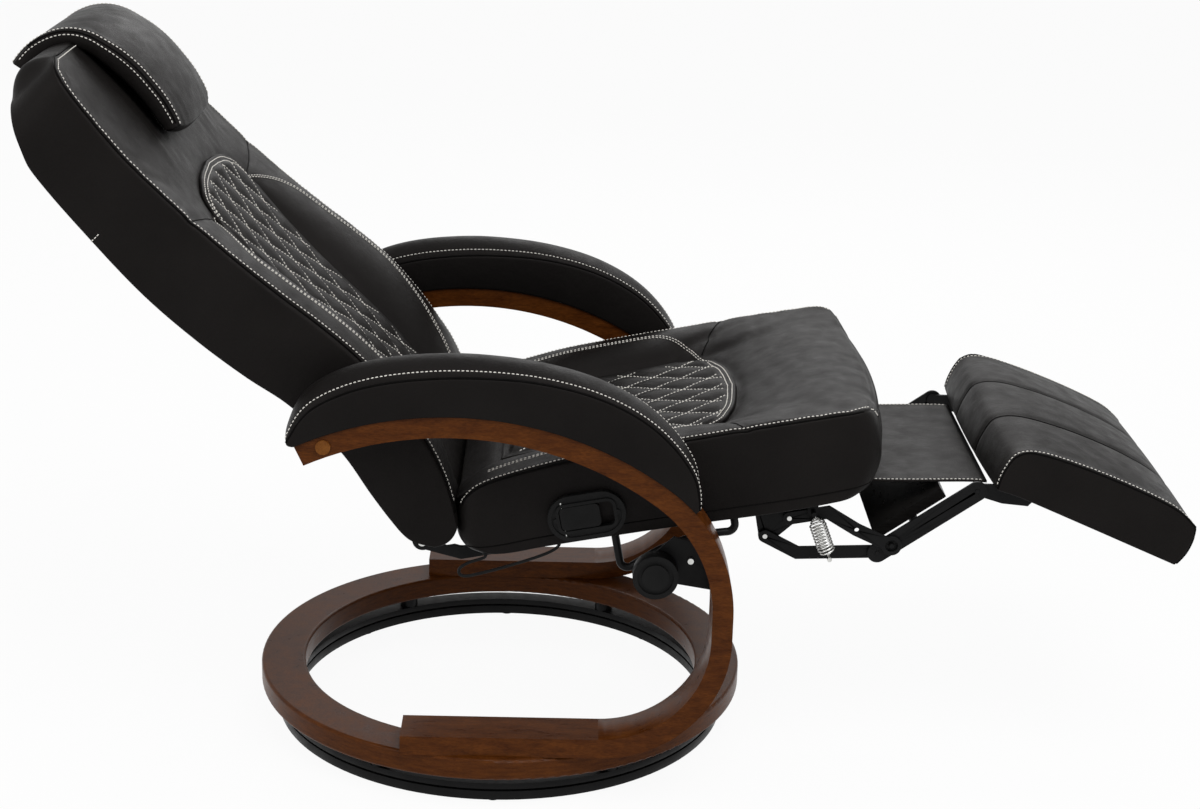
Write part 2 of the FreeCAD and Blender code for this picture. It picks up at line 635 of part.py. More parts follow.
back_blank = solid_feature("BackBlank", back_cushion_shape())
bush_room = []
for side_name, side in SIDES:
    bush_room.append(cylinder(f"bush_room_{side_name}", "pivot_bush_radius",
                              "frame_gap / 2 - back_plate_gap / 2 - back_plate_thickness",
                              Vector(pivot_x, side * plate_outer, pivot_z), outward(side)))
    bush_room.append(cylinder(f"bolt_room_{side_name}", "pivot_bolt_radius + side_clearance",
                              "back_plate_thickness",
                              Vector(pivot_x, side * size("back_plate_gap") / 2, pivot_z), outward(side)))
    bush_room.append(cylinder(f"hinge_room_{side_name}", "back_plate_width",
                              "2 * link_gap + hinge_plate_thickness",
                              Vector(seat_hinge[0], side * plate_outer, seat_hinge[1]), outward(side)))
back_cushion = cut("BackCushion", back_blank, back_frame, group("BushRoom", *bush_room))
sub_part(back_cushion, "back_cushion")


def pillow_outline(swell):
    """Headrest section: a thick pad that hangs down the front and hooks over the top."""
    waist = size("back_waist")
    above = size("back_above")
    low = above - size("pillow_drop")
    top = size("back_waist") + size("back_crown") + size("pillow_thickness") + swell
    roll = size("pillow_roll")
    lip = size("pillow_lip")
    lip_drop = size("pillow_lip_drop")
    outline = Outline(back_point(low, waist))
    outline.arc(back_point(low - (roll + swell) / 2, (waist + top) / 2), back_point(low + roll, top))
    outline.arc(back_point(low + size("pillow_bulge_at"), top + size("pillow_bulge")),
                back_point(above - roll, top))
    outline.arc(back_point(above + roll + swell / 2, size("pillow_top_forward")), back_point(above, lip))
    outline.line(back_point(above - lip_drop, lip), back_point(above - 2 * lip_drop, waist))
    return outline.close()


def pillow_shape():
    half = size("pillow_half_width")
    swell = size("pillow_swell")
    pairs = [(0, pillow_outline(swell)), (half * 0.6, pillow_outline(swell * 0.6)),
             (half - size("pillow_end"), pillow_outline(-swell * 0.4)), (half, pillow_outline(-swell * 1.4))]
    return loft(mirrored(pairs))


pillow_blank = solid_feature("PillowBlank", pillow_shape())
back_room = solid_feature("BackRoom", back_blank.Shape)
sub_part(cut("Pillow", pillow_blank, back_room), "headrest_pillow")

# Seat cushion on its board.

seat_corner = (size("seat_rear_x"), size("seat_rear_z"))
seat_point = axes(seat_corner, size("seat_tilt"))
seat_turn = FreeCAD.Rotation(Vector(0, -1, 0), size("seat_tilt"))


def seat_top_edge(dish, front_draw, lift):
    """The top of the seat from its front lip to the rear: rising front, hollow middle, rounded rear."""
    front = size("seat_length") - front_draw
    top = size("seat_depth") + lift
    edge = Outline(seat_point(front - size("seat_front_lip"), top + size("seat_front_rise")))
    edge.arc(seat_point(size("seat_middle_at"), top - dish), seat_point(size("seat_rear_at"), top - dish))
    rear_top = top - size("seat_rear_drop") - dish * (1 - size("bolster_share"))
    return edge.arc(seat_point(size("seat_rear_at") / 4, rear_top),
                    seat_point(-size("seat_rear_drop") - lift, size("seat_rear_edge") - dish / 4 + lift))


def seat_outline(dish, front_draw, draw):
    """Section of the seat: flat underside, rounded front, hollow top and sloping rear face."""
    front = size("seat_length") - front_draw - draw
    heel = -size("seat_heel") + draw
    reach = -size("seat_heel_reach") + draw
    rounding = size("seat_front_round")
    top_edge = seat_top_edge(dish, front_draw + draw, -draw)
    outline = Outline(seat_point(heel, draw))
    outline.line(seat_point(front - size("seat_front_low"), draw))
    outline.arc(seat_point(front - rounding, rounding + draw), seat_point(front, size("seat_front_full")))
    outline.arc(seat_point(front - 1, size("seat_depth") - draw - 2 * rounding), top_edge.start)
    outline.pieces += top_edge.pieces
    outline.at = top_edge.at
    outline.line(seat_point(reach, rounding + draw))
    outline.arc(seat_point(reach + rounding / 4, rounding / 4 + draw), seat_point(heel, draw))
    return outline


def seat_cushion_shape():
    half = size("seat_half_width")
    dish = size("seat_dish")
    corner = size("seat_corner_draw")
    draw = size("seat_side_draw")
    bolster = size("bolster_share")
    edge = half - size("cushion_edge")
    flat = size("seat_quilt_half_width") + size("quilt_border")
    middle = (flat + edge) / 2
    pairs = [(0, seat_outline(dish, 0, 0)), (flat, seat_outline(dish, 0, 0)),
             (middle, seat_outline(dish * bolster, corner * 0.2, 0)),
             (edge, seat_outline(0, corner * 0.6, 0)),
             (half, seat_outline(0, corner, draw))]
    return loft(mirrored(pairs))


def seat_box(name, length, width, height, start, low, y_low):
    """A box in the seat's axes."""
    box = bind(doc.addObject("Part::Box", name), Length=length, Width=width, Height=height)
    x, z = seat_point(start, low)
    box.Placement = FreeCAD.Placement(Vector(x, y_low, z), seat_turn)
    return box


board_length = "seat_board_front"
board_start = size("seat_board_rear")
seat_board = seat_box("SeatBoard", board_length, "2 * seat_board_half_width", "seat_board_thickness",
                      board_start, 0, -size("seat_board_half_width"))
seat_blank = solid_feature("SeatBlank", seat_cushion_shape())

# Release handle: an oval bezel with a tray behind it, let into the seat's right side.

bezel_centre = (size("bezel_x"), size("bezel_z"))
bezel_axes = axes(bezel_centre, size("seat_tilt"))
seat_side_y = -size("seat_half_width")


def stadium(length, height):
    """An oblong with fully rounded ends, centred on the handle."""
    straight = (length - height) / 2
    ends = [bezel_axes(-straight, 0), bezel_axes(straight, 0)]
    return bar_outline(ends, height)


def rounded_box_outline(left, right, height, corner):
    """A rectangle with rounded corners in the handle's axes."""
    half = height / 2
    bulge = corner * (1 - math.sqrt(0.5))
    outline = Outline(bezel_axes(left + corner, -half)).line(bezel_axes(right - corner, -half))
    outline.arc(bezel_axes(right - bulge, -half + bulge), bezel_axes(right, -half + corner))
    outline.line(bezel_axes(right, half - corner))
    outline.arc(bezel_axes(right - bulge, half - bulge), bezel_axes(right - corner, half))
    outline.line(bezel_axes(left + corner, half))
    outline.arc(bezel_axes(left + bulge, half - bulge), bezel_axes(left, half - corner))
    outline.line(bezel_axes(left, -half + corner))
    return outline.arc(bezel_axes(left + bulge, -half + bulge), bezel_axes(left + corner, -half))


opening_half = size("opening_length") / 2
opening_corner = size("opening_corner")
tray_wall = size("tray_wall")
bezel_rim = plate("BezelRim", stadium(size("bezel_length"), size("bezel_height")), [], "bezel_thickness",
                  seat_side_y - size("bezel_thickness") / 2)
tray_outline = rounded_box_outline(-opening_half - tray_wall, opening_half + tray_wall,
                                   size("opening_height") + 2 * tray_wall, opening_corner + tray_wall)
tray = plate("Tray", tray_outline, [], "tray_depth", seat_side_y + size("tray_depth") / 2)
opening_outline = rounded_box_outline(-opening_half, opening_half, size("opening_height"), opening_corner)
opening_y = seat_side_y + (size("tray_depth") - tray_wall - size("bezel_thickness")) / 2
opening = plate("Opening", opening_outline, [], "tray_depth - tray_wall + bezel_thickness", opening_y)

paddle_left = -opening_half + size("paddle_clearance")
paddle_right = paddle_left + size("paddle_length")
paddle_height = size("opening_height") - 2 * size("paddle_clearance")
paddle_y = seat_side_y - size("bezel_thickness") / 2
pin_place = bezel_axes(paddle_left + size("paddle_thickness") / 2 + 1, -size("bezel_height") / 2 + 6)
seat_up = Vector(-math.sin(math.radians(size("seat_tilt"))), 0, math.cos(math.radians(size("seat_tilt"))))


def paddle_pin_cylinder(name, radius):
    return cylinder(name, radius, "bezel_height - 12", Vector(pin_place[0], paddle_y, pin_place[1]), seat_up)


paddle_pin = sub_part(paddle_pin_cylinder("PaddlePin", "paddle_pin_radius"), "paddle_pin")
bezel_face = seat_side_y - size("bezel_thickness")
recess_y = bezel_face + size("bezel_recess") / 2
rim_width = size("bezel_rim_width")
recess_outline = stadium(size("bezel_length") - 2 * rim_width, size("bezel_height") - 2 * rim_width)
recess_blank = plate("RecessBlank", recess_outline, [], "bezel_recess", recess_y)
lip = size("bezel_lip")
lip_outline = rounded_box_outline(-opening_half - lip, opening_half + lip, size("opening_height") + 2 * lip,
                                  opening_corner + lip)
recess_lip = plate("RecessLip", lip_outline, [], "bezel_recess", recess_y)
screw_reach = size("bezel_length") / 2 - size("bezel_screw_inset")
screw_heads = []
for number, end in enumerate((-screw_reach, screw_reach)):
    place = bezel_axes(end, 0)
    screw_heads.append(cylinder(f"bezel_screw{number}", "bezel_screw_radius", "bezel_recess",
                                Vector(place[0], bezel_face, place[1]), Vector(0, 1, 0)))
recess = cut("BezelRecess", recess_blank, recess_lip, *screw_heads)
bezel_blank = fuse("BezelBlank", bezel_rim, tray)
sub_part(cut("Bezel", bezel_blank, opening, paddle_pin, recess), "handle_bezel")
paddle_outline = rounded_box_outline(paddle_left, paddle_right, paddle_height,
                                     opening_corner - size("paddle_clearance"))
paddle_blank = plate("PaddleBlank", paddle_outline, [], "paddle_thickness", paddle_y)
sub_part(cut("Paddle", paddle_blank, paddle_pin_cylinder("PaddleBore", "paddle_pin_radius + running_fit")),
         "release_paddle")

tray_room = plate("TrayRoom", tray_outline, [], "tray_depth", seat_side_y + size("tray_depth") / 2)
seat_cushion = cut("SeatCushion", seat_blank, seat_board, tray_room)
sub_part(seat_cushion, "seat_cushion")
sub_part(seat_board, "seat_board")

# Quilted panels: raised diamonds on a thin base, in an oval on the back and on the seat.


def back_quilt_edge(lift):
    """The front of the back's middle, lifted by part of the panel's thickness."""
    return back_front_edge(size("back_dish"), size("back_crown"), lift)


def seat_quilt_edge(lift):
    """The top of the seat's middle, lifted by part of the panel's thickness."""
    return seat_top_edge(size("seat_dish"), 0, lift)


def band(edge, low, high, half):
    """A slab across the panel's width between two lifts above a cushion."""
    outline = edge(low)
    above = edge(high)
    outline.line(above.at)
    for piece in above.pieces[::-1]:
        outline.pieces.append(piece[::-1])
        outline.at = piece[0]
    face = Part.Face(outline.close().wire(-half))
    return face.extrude(Vector(0, 2 * half, 0))


def quilt_panel(edge, to_plane, square_end, round_end, low_half, half):
    """Diamonds left by two sets of crossing grooves in a tapered panel with one rounded end."""
    depth = 4 * half
    way = math.copysign(1, round_end - square_end)
    corner = size("quilt_corner")
    arch = size("quilt_arch")
    lean_in = math.sqrt(0.5)
    shoulder_at = round_end - way * corner
    round_at = shoulder_at + way * (corner - arch) * lean_in
    arch_half = half - corner
    right_side = [(square_end, -low_half), (shoulder_at, -half),
                  (round_at, -arch_half - corner * lean_in), (round_end - way * arch, -arch_half)]
    left_side = [(along, -y) for along, y in right_side[::-1]]
    points = []
    for along, y in right_side + [(round_end, 0)] + left_side:
        x, z = to_plane(along, 0)
        points.append(Vector(x, y, z))
    lift_x, lift_z = to_plane(0, depth)
    foot_x, foot_z = to_plane(0, 0)
    lift = Vector(lift_x - foot_x, 0, lift_z - foot_z)
    sides = [Part.LineSegment(points[0], points[1]), Part.Arc(*points[1:4]), Part.Arc(*points[3:6]),
             Part.Arc(*points[5:8]), Part.LineSegment(points[7], points[8]),
             Part.LineSegment(points[8], points[0])]
    oval = Part.Face(Part.Wire([side.toShape() for side in sides])).extrude(lift)
    gap = size("seat_gap")
    base = band(edge, gap, size("quilt_base"), half).common(oval)
    puffs = band(edge, size("quilt_base"), size("quilt_height"), half).common(oval)
    lean = math.atan2(size("quilt_diamond_width"), size("quilt_diamond_length"))
    spacing = size("quilt_diamond_width") * math.cos(lean)
    span = abs(round_end - square_end)
    middle = (round_end + square_end) / 2
    rows = int((span * math.sin(lean) / 2 + half) / spacing) + 1
    x, z = to_plane(middle, 0)
    upright_turn = FreeCAD.Rotation(Vector(0, 1, 0), math.degrees(math.atan2(lift.x, lift.z)))
    seat_on = FreeCAD.Placement(Vector(x, 0, z), upright_turn)
    grooves = []
    for turn in (-lean, lean):
        for i in range(-rows, rows + 1):
            slab = Part.makeBox(2 * span, size("quilt_groove"), depth,
                                Vector(-span, i * spacing - size("quilt_groove") / 2, 0))
            slab.rotate(Vector(0, 0, 0), Vector(0, 0, 1), math.degrees(turn))
            slab.Placement = seat_on * slab.Placement
            grooves.append(slab)
    return base.fuse(puffs.cut(Part.makeCompound(grooves)))


for title, edge, to_plane in (("back", back_quilt_edge, back_point), ("seat", seat_quilt_edge, seat_point)):
    panel = quilt_panel(edge, to_plane, size(f"{title}_quilt_low"), size(f"{title}_quilt_high"),
                        size(f"{title}_quilt_low_half_width"), size(f"{title}_quilt_half_width"))
    sub_part(solid_feature(f"Quilt_{title}", panel), f"{title}_quilt_panel")

# Seat hinge brackets under the board, pinned to the back's side plates.

hinge_y = size("back_plate_gap") / 2 + size("back_plate_thickness") + size("link_gap")
hinge_drop = -size("hinge_plate_drop")
hinge_points = [seat_point(size("hinge_plate_reach"), hinge_drop),
                seat_point(-size("hinge_plate_bend_at"), hinge_drop), seat_hinge]
hinge_brackets = []
hinge_pins = []
for side_name, side in SIDES:
    y_centre = side * (hinge_y + size("hinge_plate_thickness") / 2)
    bar = bar_outline(hinge_points, size("hinge_plate_width"))
    pin_hole = (seat_hinge, size("hinge_pin_radius") + size("running_fit"))
    arm = plate(f"HingeArm_{side_name}", bar, [pin_hole], "hinge_plate_thickness", y_centre)
    hinge_brackets.append(arm)
    pin_start = Vector(seat_hinge[0], side * size("back_plate_gap") / 2, seat_hinge[1])
    hinge_pins.append(cylinder(f"hinge_pin_{side_name}", "hinge_pin_radius",
                               "back_plate_thickness + link_gap + hinge_plate_thickness",
                               pin_start, outward(side)))
under_board = seat_box("UnderBoard", "2 * seat_length", "2 * seat_half_width", "seat_depth",
                       -2 * size("seat_heel_reach"), 0, -size("seat_half_width"))
sub_part(cut("HingeBrackets", group("HingeArms", *hinge_brackets), under_board), "seat_hinge_brackets")
sub_part(group("HingePins", *hinge_pins), "seat_hinge_pins")

# Recline clamp: a plate on each frame carries a bush, over which the seat's slide rod runs.
# The knob locks it.

swing = Vector(seat_hinge[0] - pivot_x, 0, seat_hinge[1] - pivot_z)
rod_centre = (clamp[0] + swing.x, clamp[1] + swing.z)
rod_reach = swing.Length + size("clamp_bush_radius") + size("rod_radius") + size("side_clearance")
rest_angle = math.degrees(math.atan2(-swing.x, -swing.z))
end_angle = rest_angle + size("recline_travel")
clamp_plate_y = frame_inner - size("clamp_plate_thickness") / 2


def clamp_plate_outline():
    """From round the bush forward on to the inner face of the wooden upright."""
    x, z = clamp
    outline = Outline((x - 14, z + 12)).line((x + 22, z + 46), (x + 70, z + 34), (x + 84, z + 4))
    outline.line((x + 80, z - 26), (x + 30, z - 18), (x + 10, z - 14))
    return outline.arc((x - 10, z - 10), (x - 14, z + 12))


def span_cylinder(name, radius, reach, side, near, place):
    """A cylinder along Y on one side, from a distance off the middle plane outwards."""
    return cylinder(name, radius, reach, Vector(place[0], side * near, place[1]), outward(side))


plate_inner = frame_inner - size("clamp_plate_thickness")
bush_start = size("rod_spread") - size("rod_radius") - size("clamp_bush_overrun")
free_bolt = (clamp[0] + 44, clamp[1] + 15)
bush_length = "frame_gap / 2 - clamp_plate_thickness - rod_spread + rod_radius + clamp_bush_overrun"
plate_bolts = []
clamp_bushes = []
for side_name, side in SIDES:
    clamp_hole = (clamp, size("clamp_stud_radius") + size("running_fit"))
    bolt_holes = [(spot, size("plate_bolt_radius")) for spot in (free_bolt, wood_bolt)]
    clamp_plate = plate(f"ClampPlate_{side_name}", clamp_plate_outline(), [clamp_hole] + bolt_holes,
                        "clamp_plate_thickness", side * clamp_plate_y)
    sub_part(clamp_plate, f"clamp_plate_{side_name}")
    free_shank = span_cylinder(f"free_shank_{side_name}", "plate_bolt_radius", "clamp_plate_thickness", side,
                               plate_inner, free_bolt)
    free_head = span_cylinder(f"free_head_{side_name}", "plate_bolt_head", "plate_bolt_head_height", side,
                              frame_inner, free_bolt)
    free_nut = span_cylinder(f"free_nut_{side_name}", "plate_bolt_head", "plate_bolt_head_height", side,
                             plate_inner - size("plate_bolt_head_height"), free_bolt)
    wood_head = span_cylinder(f"wood_head_{side_name}", "plate_bolt_head", "plate_bolt_head_height", side,
                              plate_inner - size("plate_bolt_head_height"), wood_bolt)
    wood_shank = span_cylinder(f"wood_shank_{side_name}", "plate_bolt_radius",
                               "clamp_plate_thickness + plate_screw_depth", side, plate_inner, wood_bolt)
    plate_bolts.append(fuse(f"FreeBolt_{side_name}", free_shank, free_head, free_nut))
    plate_bolts.append(fuse(f"WoodBolt_{side_name}", wood_head, wood_shank))
    bush_body = span_cylinder(f"clamp_bush_{side_name}", "clamp_bush_radius", bush_length, side,
                              bush_start, clamp)
    bush_bore = span_cylinder(f"clamp_bore_{side_name}", "clamp_stud_radius + running_fit", bush_length, side,
                              bush_start, clamp)
    clamp_bushes.append(cut(f"ClampBush_{side_name}", bush_body, bush_bore))
plate_bolt_group = sub_part(group("PlateBolts", *plate_bolts), "clamp_plate_bolts")
sub_part(group("ClampBushes", *clamp_bushes), "clamp_bushes")


def lock_knob(side_name, side):
    """A round hand knob on a stud that runs in the clamp bush."""
    hub_start = frame_inner + size("side_clearance")
    knob_start = hub_start + size("knob_stand_off")
    face = knob_start + size("knob_length")
    stud_length = f"{bush_length} + clamp_plate_thickness + side_clearance + knob_stand_off"
    stud = span_cylinder(f"knob_stud_{side_name}", "clamp_stud_radius", stud_length, side, bush_start, clamp)
    hub = span_cylinder(f"knob_hub_{side_name}", "knob_hub_radius", "knob_stand_off", side, hub_start, clamp)
    disc = span_cylinder(f"knob_disc_{side_name}", "knob_radius", "knob_length", side, knob_start, clamp)
    dish = span_cylinder(f"knob_dish_{side_name}", "knob_radius - knob_rim", "knob_dish_depth", side,
                         face - size("knob_dish_depth"), clamp)
    boss = span_cylinder(f"knob_boss_{side_name}", "knob_boss_radius", "knob_dish_depth", side,
                         face - size("knob_dish_depth"), clamp)
    hollow = cut(f"KnobHollow_{side_name}", dish, boss)
    grip = cut(f"KnobGrip_{side_name}", disc, hollow)
    return fuse(f"Knob_{side_name}", stud, hub, grip)


for side_name, side in SIDES:
    sub_part(lock_knob(side_name, side), f"lock_knob_{side_name}")


def slide_rod_path():
    """Down from the seat, along an arc that rides on the bush all through the recline, and up again."""
    run = size("rod_run")
    spare = size("rod_spare_angle")
    first_angle = rest_angle - spare
    last_angle = end_angle + spare
    arc_start = polar(rod_centre, rod_reach, first_angle)
    arc_end = polar(rod_centre, rod_reach, last_angle)
    rear_corner = polar(arc_start, -run, first_angle + 90)
    front_corner = polar(arc_end, size("rod_front_run"), last_angle + 90)

    def foot(point):
        """Where the normal from a point meets the underside of the seat."""
        x, z = point[0] - seat_corner[0], point[1] - seat_corner[1]
        tilt = math.radians(size("seat_tilt"))
        return seat_point(x * math.cos(tilt) + z * math.sin(tilt), 0)

    def up(point):
        return Vector(point[0], 0, point[1])

    bend = [size("rod_bend_radius")]
    rear = rounded_path([up(p) for p in (foot(rear_corner), rear_corner, arc_start)], bend)
    front = rounded_path([up(p) for p in (arc_end, front_corner, foot(front_corner))], bend)
    middle = polar(rod_centre, rod_reach, (first_angle + last_angle) / 2)
    arc = Part.Arc(up(arc_start), up(middle), up(arc_end)).toShape()
    return Part.Wire(rear.Edges + [arc] + front.Edges)


for side_name, side in SIDES:
    rod = solid_feature(f"SlideRod_{side_name}", tube_along(slide_rod_path(), size("rod_radius")))
    rod.Placement = FreeCAD.Placement(Vector(0, side * size("rod_spread"), 0), FreeCAD.Rotation())
    sub_part(rod, f"slide_rod_{side_name}")

# Release cable: out of the seat's underside below the handle, back in a shallow loop and in again.

CABLE_ROUTE = [
    (78, -236, 333.17), (79.65, -236, 324.6), (66, -237, 315), (43, -238, 306), (20, -238, 298),
    (-4, -238, 290), (-25, -238, 284), (-40, -237.5, 280), (-49, -237, 283), (-47.5, -236.5, 292),
    (-36, -236, 299), (-22, -236, 303.5), (-13.2, -236, 307), (-14.8, -236, 315.3),
]


def cable_tube(route, radius):
    """A tube on runs joined by arcs as large as the runs allow; prints its length and radii."""
    points = [Vector(*point) for point in route]
    share = 0.45
    radii = []
    for before, corner, after in zip(points, points[1:], points[2:]):
        run = min((corner - before).Length, (after - corner).Length)
        turn = (corner - before).getAngle(after - corner)
        radii.append(share * run / math.tan(turn / 2))
    path = rounded_path(points, radii)
    tube = tube_along(path, radius)
    volume = math.pi * radius ** 2 * path.Length
    print("cable length", round(path.Length, 1), "volume share", round(tube.Volume / volume, 4))
    print("cable radii", [round(bend, 1) for bend in radii])
    return tube


sub_part(solid_feature("Cable", cable_tube(CABLE_ROUTE, size("cable_radius"))), "release_cable")
glands = []
for i, (end, beside) in enumerate(((CABLE_ROUTE[0], CABLE_ROUTE[1]), (CABLE_ROUTE[-1], CABLE_ROUTE[-2]))):
    start = Vector(*end)
    direction = Vector(*beside) - start
    collar = cylinder(f"gland{i}", "gland_radius", "gland_height", start, direction)
    bore = cylinder(f"gland_bore{i}", "cable_radius", "gland_height", start, direction)
    glands.append(cut(f"Gland{i}", collar, bore))
sub_part(group("Glands", *glands), "cable_glands")

# Footrest linkage: brackets on the seat board, lower, upper and front links in layers, riveted pins.

lower_pivot = (size("lower_link_x"), size("lower_link_z"))
upper_pivot = (size("upper_link_x"), size("upper_link_z"))
knee = (size("knee_x"), size("knee_z"))
foot_hinge = (size("footrest_hinge_x"), size("footrest_hinge_z"))
front_tilt = math.degrees(math.atan2(foot_hinge[1] - knee[1], foot_hinge[0] - knee[0]))
front_point = axes(knee, front_tilt)
open_pin = front_point(size("knee_offset"), 0)
layer_step = size("link_thickness") + size("link_gap")
layer_start = size("link_bracket_gap") / 2
pin_radius = size("link_pin_radius")
pin_fit = pin_radius + size("running_fit")


def layer(number, side):
    """The middle of a layer of the linkage, counted outwards from the seat bracket."""
    return side * (layer_start + number * layer_step + size("link_thickness") / 2)


def link_pin(name, place, first, last, side):
    """A pin through the layers from first to last."""
    reach = f"{last - first + 1} * link_thickness + {last - first} * link_gap + link_gap / 2"
    return span_cylinder(name, "link_pin_radius", reach, side, layer_start + first * layer_step, place)


def link_bracket_outline():
    """Hung under the seat board, round the lower and upper pivots."""
    reach = 2.8 * pin_radius
    outline = Outline(seat_point(334, 0)).line(seat_point(434, 0), (upper_pivot[0] + 26, upper_pivot[1] - 2))
    outline.line((upper_pivot[0] + 8, upper_pivot[1] - 12), (lower_pivot[0] + 9, lower_pivot[1] - 9))
    outline.arc((lower_pivot[0] - 4, lower_pivot[1] - reach), (lower_pivot[0] - reach, lower_pivot[1] + 2))
    return outline.close()


lower_points = [lower_pivot, (lower_pivot[0] + 42.5, lower_pivot[1] - 22), (knee[0] - 26, knee[1] - 1), knee]
upper_points = [upper_pivot, (upper_pivot[0] + 49, upper_pivot[1] + 9),
                (upper_pivot[0] + 87, upper_pivot[1] - 14), open_pin]
spring_foot = (size("spring_foot_x"), size("spring_foot_z"))
spring_top = (size("spring_top_x"), size("spring_top_z"))
top_peg_start = size("spring_spread") - 2 * size("spring_peg_radius")
seat_pins = []
knee_pins = []
front_pins = []
spring_pegs = []
spring_hangers = []
for side_name, side in SIDES:
    bracket = plate(f"LinkBracket_{side_name}", link_bracket_outline(),
                    [(lower_pivot, pin_radius), (upper_pivot, pin_radius)], "link_thickness", layer(0, side))
    sub_part(bracket, f"link_bracket_{side_name}")
    lower = plate(f"LowerLink_{side_name}", bar_outline(lower_points, size("link_width")),
                  [(lower_pivot, pin_fit), (knee, pin_radius), (spring_foot, size("spring_peg_radius"))],
                  "link_thickness", layer(1, side))
    sub_part(lower, f"lower_link_{side_name}")
    front = plate(f"FrontLink_{side_name}", bar_outline([knee, foot_hinge], size("front_link_width")),
                  [(knee, pin_fit), (open_pin, pin_radius), (foot_hinge, pin_radius)], "link_thickness",
                  layer(2, side))
    sub_part(front, f"front_link_{side_name}")
    upper = plate(f"UpperLink_{side_name}", bar_outline(upper_points, size("link_width")),
                  [(upper_pivot, pin_fit)], "link_thickness", layer(3, side))
    eye_start = layer_start + 3 * layer_step
    eye = span_cylinder(f"upper_eye_{side_name}", "link_pin_radius + open_pin_clearance + eye_wall",
                        "link_thickness", side, eye_start, open_pin)
    eye_hole = span_cylinder(f"upper_eye_hole_{side_name}", "link_pin_radius + open_pin_clearance",
                             "link_thickness", side, eye_start, open_pin)
    slot_hole = span_cylinder(f"upper_hole_{side_name}", "link_pin_radius", "link_thickness", side,
                              eye_start, upper_points[2])
    upper_blank = fuse(f"UpperBlank_{side_name}", upper, eye)
    upper_link = cut(f"UpperLinkEye_{side_name}", upper_blank, eye_hole, slot_hole)
    sub_part(upper_link, f"upper_link_{side_name}")
    seat_pins.append(link_pin(f"lower_pin_{side_name}", lower_pivot, 0, 1, side))
    seat_pins.append(link_pin(f"upper_pin_{side_name}", upper_pivot, 0, 3, side))
    knee_pins.append(link_pin(f"knee_pin_{side_name}", knee, 1, 2, side))
    front_pins.append(link_pin(f"open_pin_{side_name}", open_pin, 2, 3, side))
    front_pins.append(link_pin(f"foot_pin_{side_name}", foot_hinge, 1, 2, side))
    peg_reach = "spring_spread + 2 * spring_peg_radius - link_bracket_gap / 2 - link_thickness - link_gap"
    spring_pegs.append(span_cylinder(f"spring_peg_{side_name}", "spring_peg_radius", peg_reach, side,
                                     layer_start + layer_step, spring_foot))
    top_peg = span_cylinder(f"spring_top_peg_{side_name}", "spring_peg_radius", "4 * spring_peg_radius", side,
                            top_peg_start, spring_top)
    tab_points = [spring_top, (spring_top[0] - 4, spring_top[1] + 40)]
    tab = plate(f"SpringTab_{side_name}", bar_outline(tab_points, size("spring_tab_width")), [],
                "link_thickness", side * (top_peg_start - size("link_thickness") / 2))
    hanger = fuse(f"SpringHanger_{side_name}", top_peg, tab)
    spring_hangers.append(cut(f"SpringHangerTrim_{side_name}", hanger, under_board))
sub_part(group("SeatPins", *seat_pins), "bracket_pins")
sub_part(group("KneePins", *knee_pins), "knee_pins")
sub_part(group("FrontPins", *front_pins), "front_link_pins")
sub_part(group("SpringPegs", *spring_pegs), "spring_pegs")
sub_part(group("SpringHangers", *spring_hangers), "spring_hangers")

bar_x, bar_z = front_point(size("cross_bar_reach"), 0)
front_inner = layer_start + 2 * layer_step
sub_part(cylinder("CrossBar", "cross_bar_radius", "link_bracket_gap + 4 * link_thickness + 4 * link_gap",
                  Vector(bar_x, -front_inner, bar_z), Vector(0, 1, 0)), "link_cross_bar")
mid_board = bind(doc.addObject("Part::Box", "MidBoard"), Length="mid_board_length",
                 Width="2 * mid_board_half_width", Height="mid_board_thickness")
board_x, board_z = front_point(size("cross_bar_reach") - size("mid_board_length") / 2,
                               size("cross_bar_radius") + size("seat_gap"))
mid_board.Placement = FreeCAD.Placement(Vector(board_x, -size("mid_board_half_width"), board_z),
                                        FreeCAD.Rotation(Vector(0, -1, 0), front_tilt))
sub_part(mid_board, "middle_board")

# Tension springs between the seat's hangers and the lower links.


def biarc(start, start_way, end, end_way):
    """Two arcs that leave start and reach end in the given directions."""
    chord = end - start
    both = start_way + end_way
    twice = 2 * (1 - start_way.dot(end_way))
    if twice < 1e-9:
        return [Part.LineSegment(start, end).toShape()]
    along = chord.dot(both)
    reach = (-along + math.sqrt(along ** 2 + twice * chord.dot(chord))) / twice
    joint = (start + end + (start_way - end_way) * reach) * 0.5
    edges = []
    for a, b, corner in ((start, joint, start + start_way * reach), (joint, end, end - end_way * reach)):
        middle = (a + b) * 0.5
        rise = corner - middle
        half = math.atan2(rise.Length, (b - a).Length / 2)
        edges.append(Part.Arc(a, middle + rise * (math.tan(half / 2) / math.tan(half)), b).toShape())
    return edges


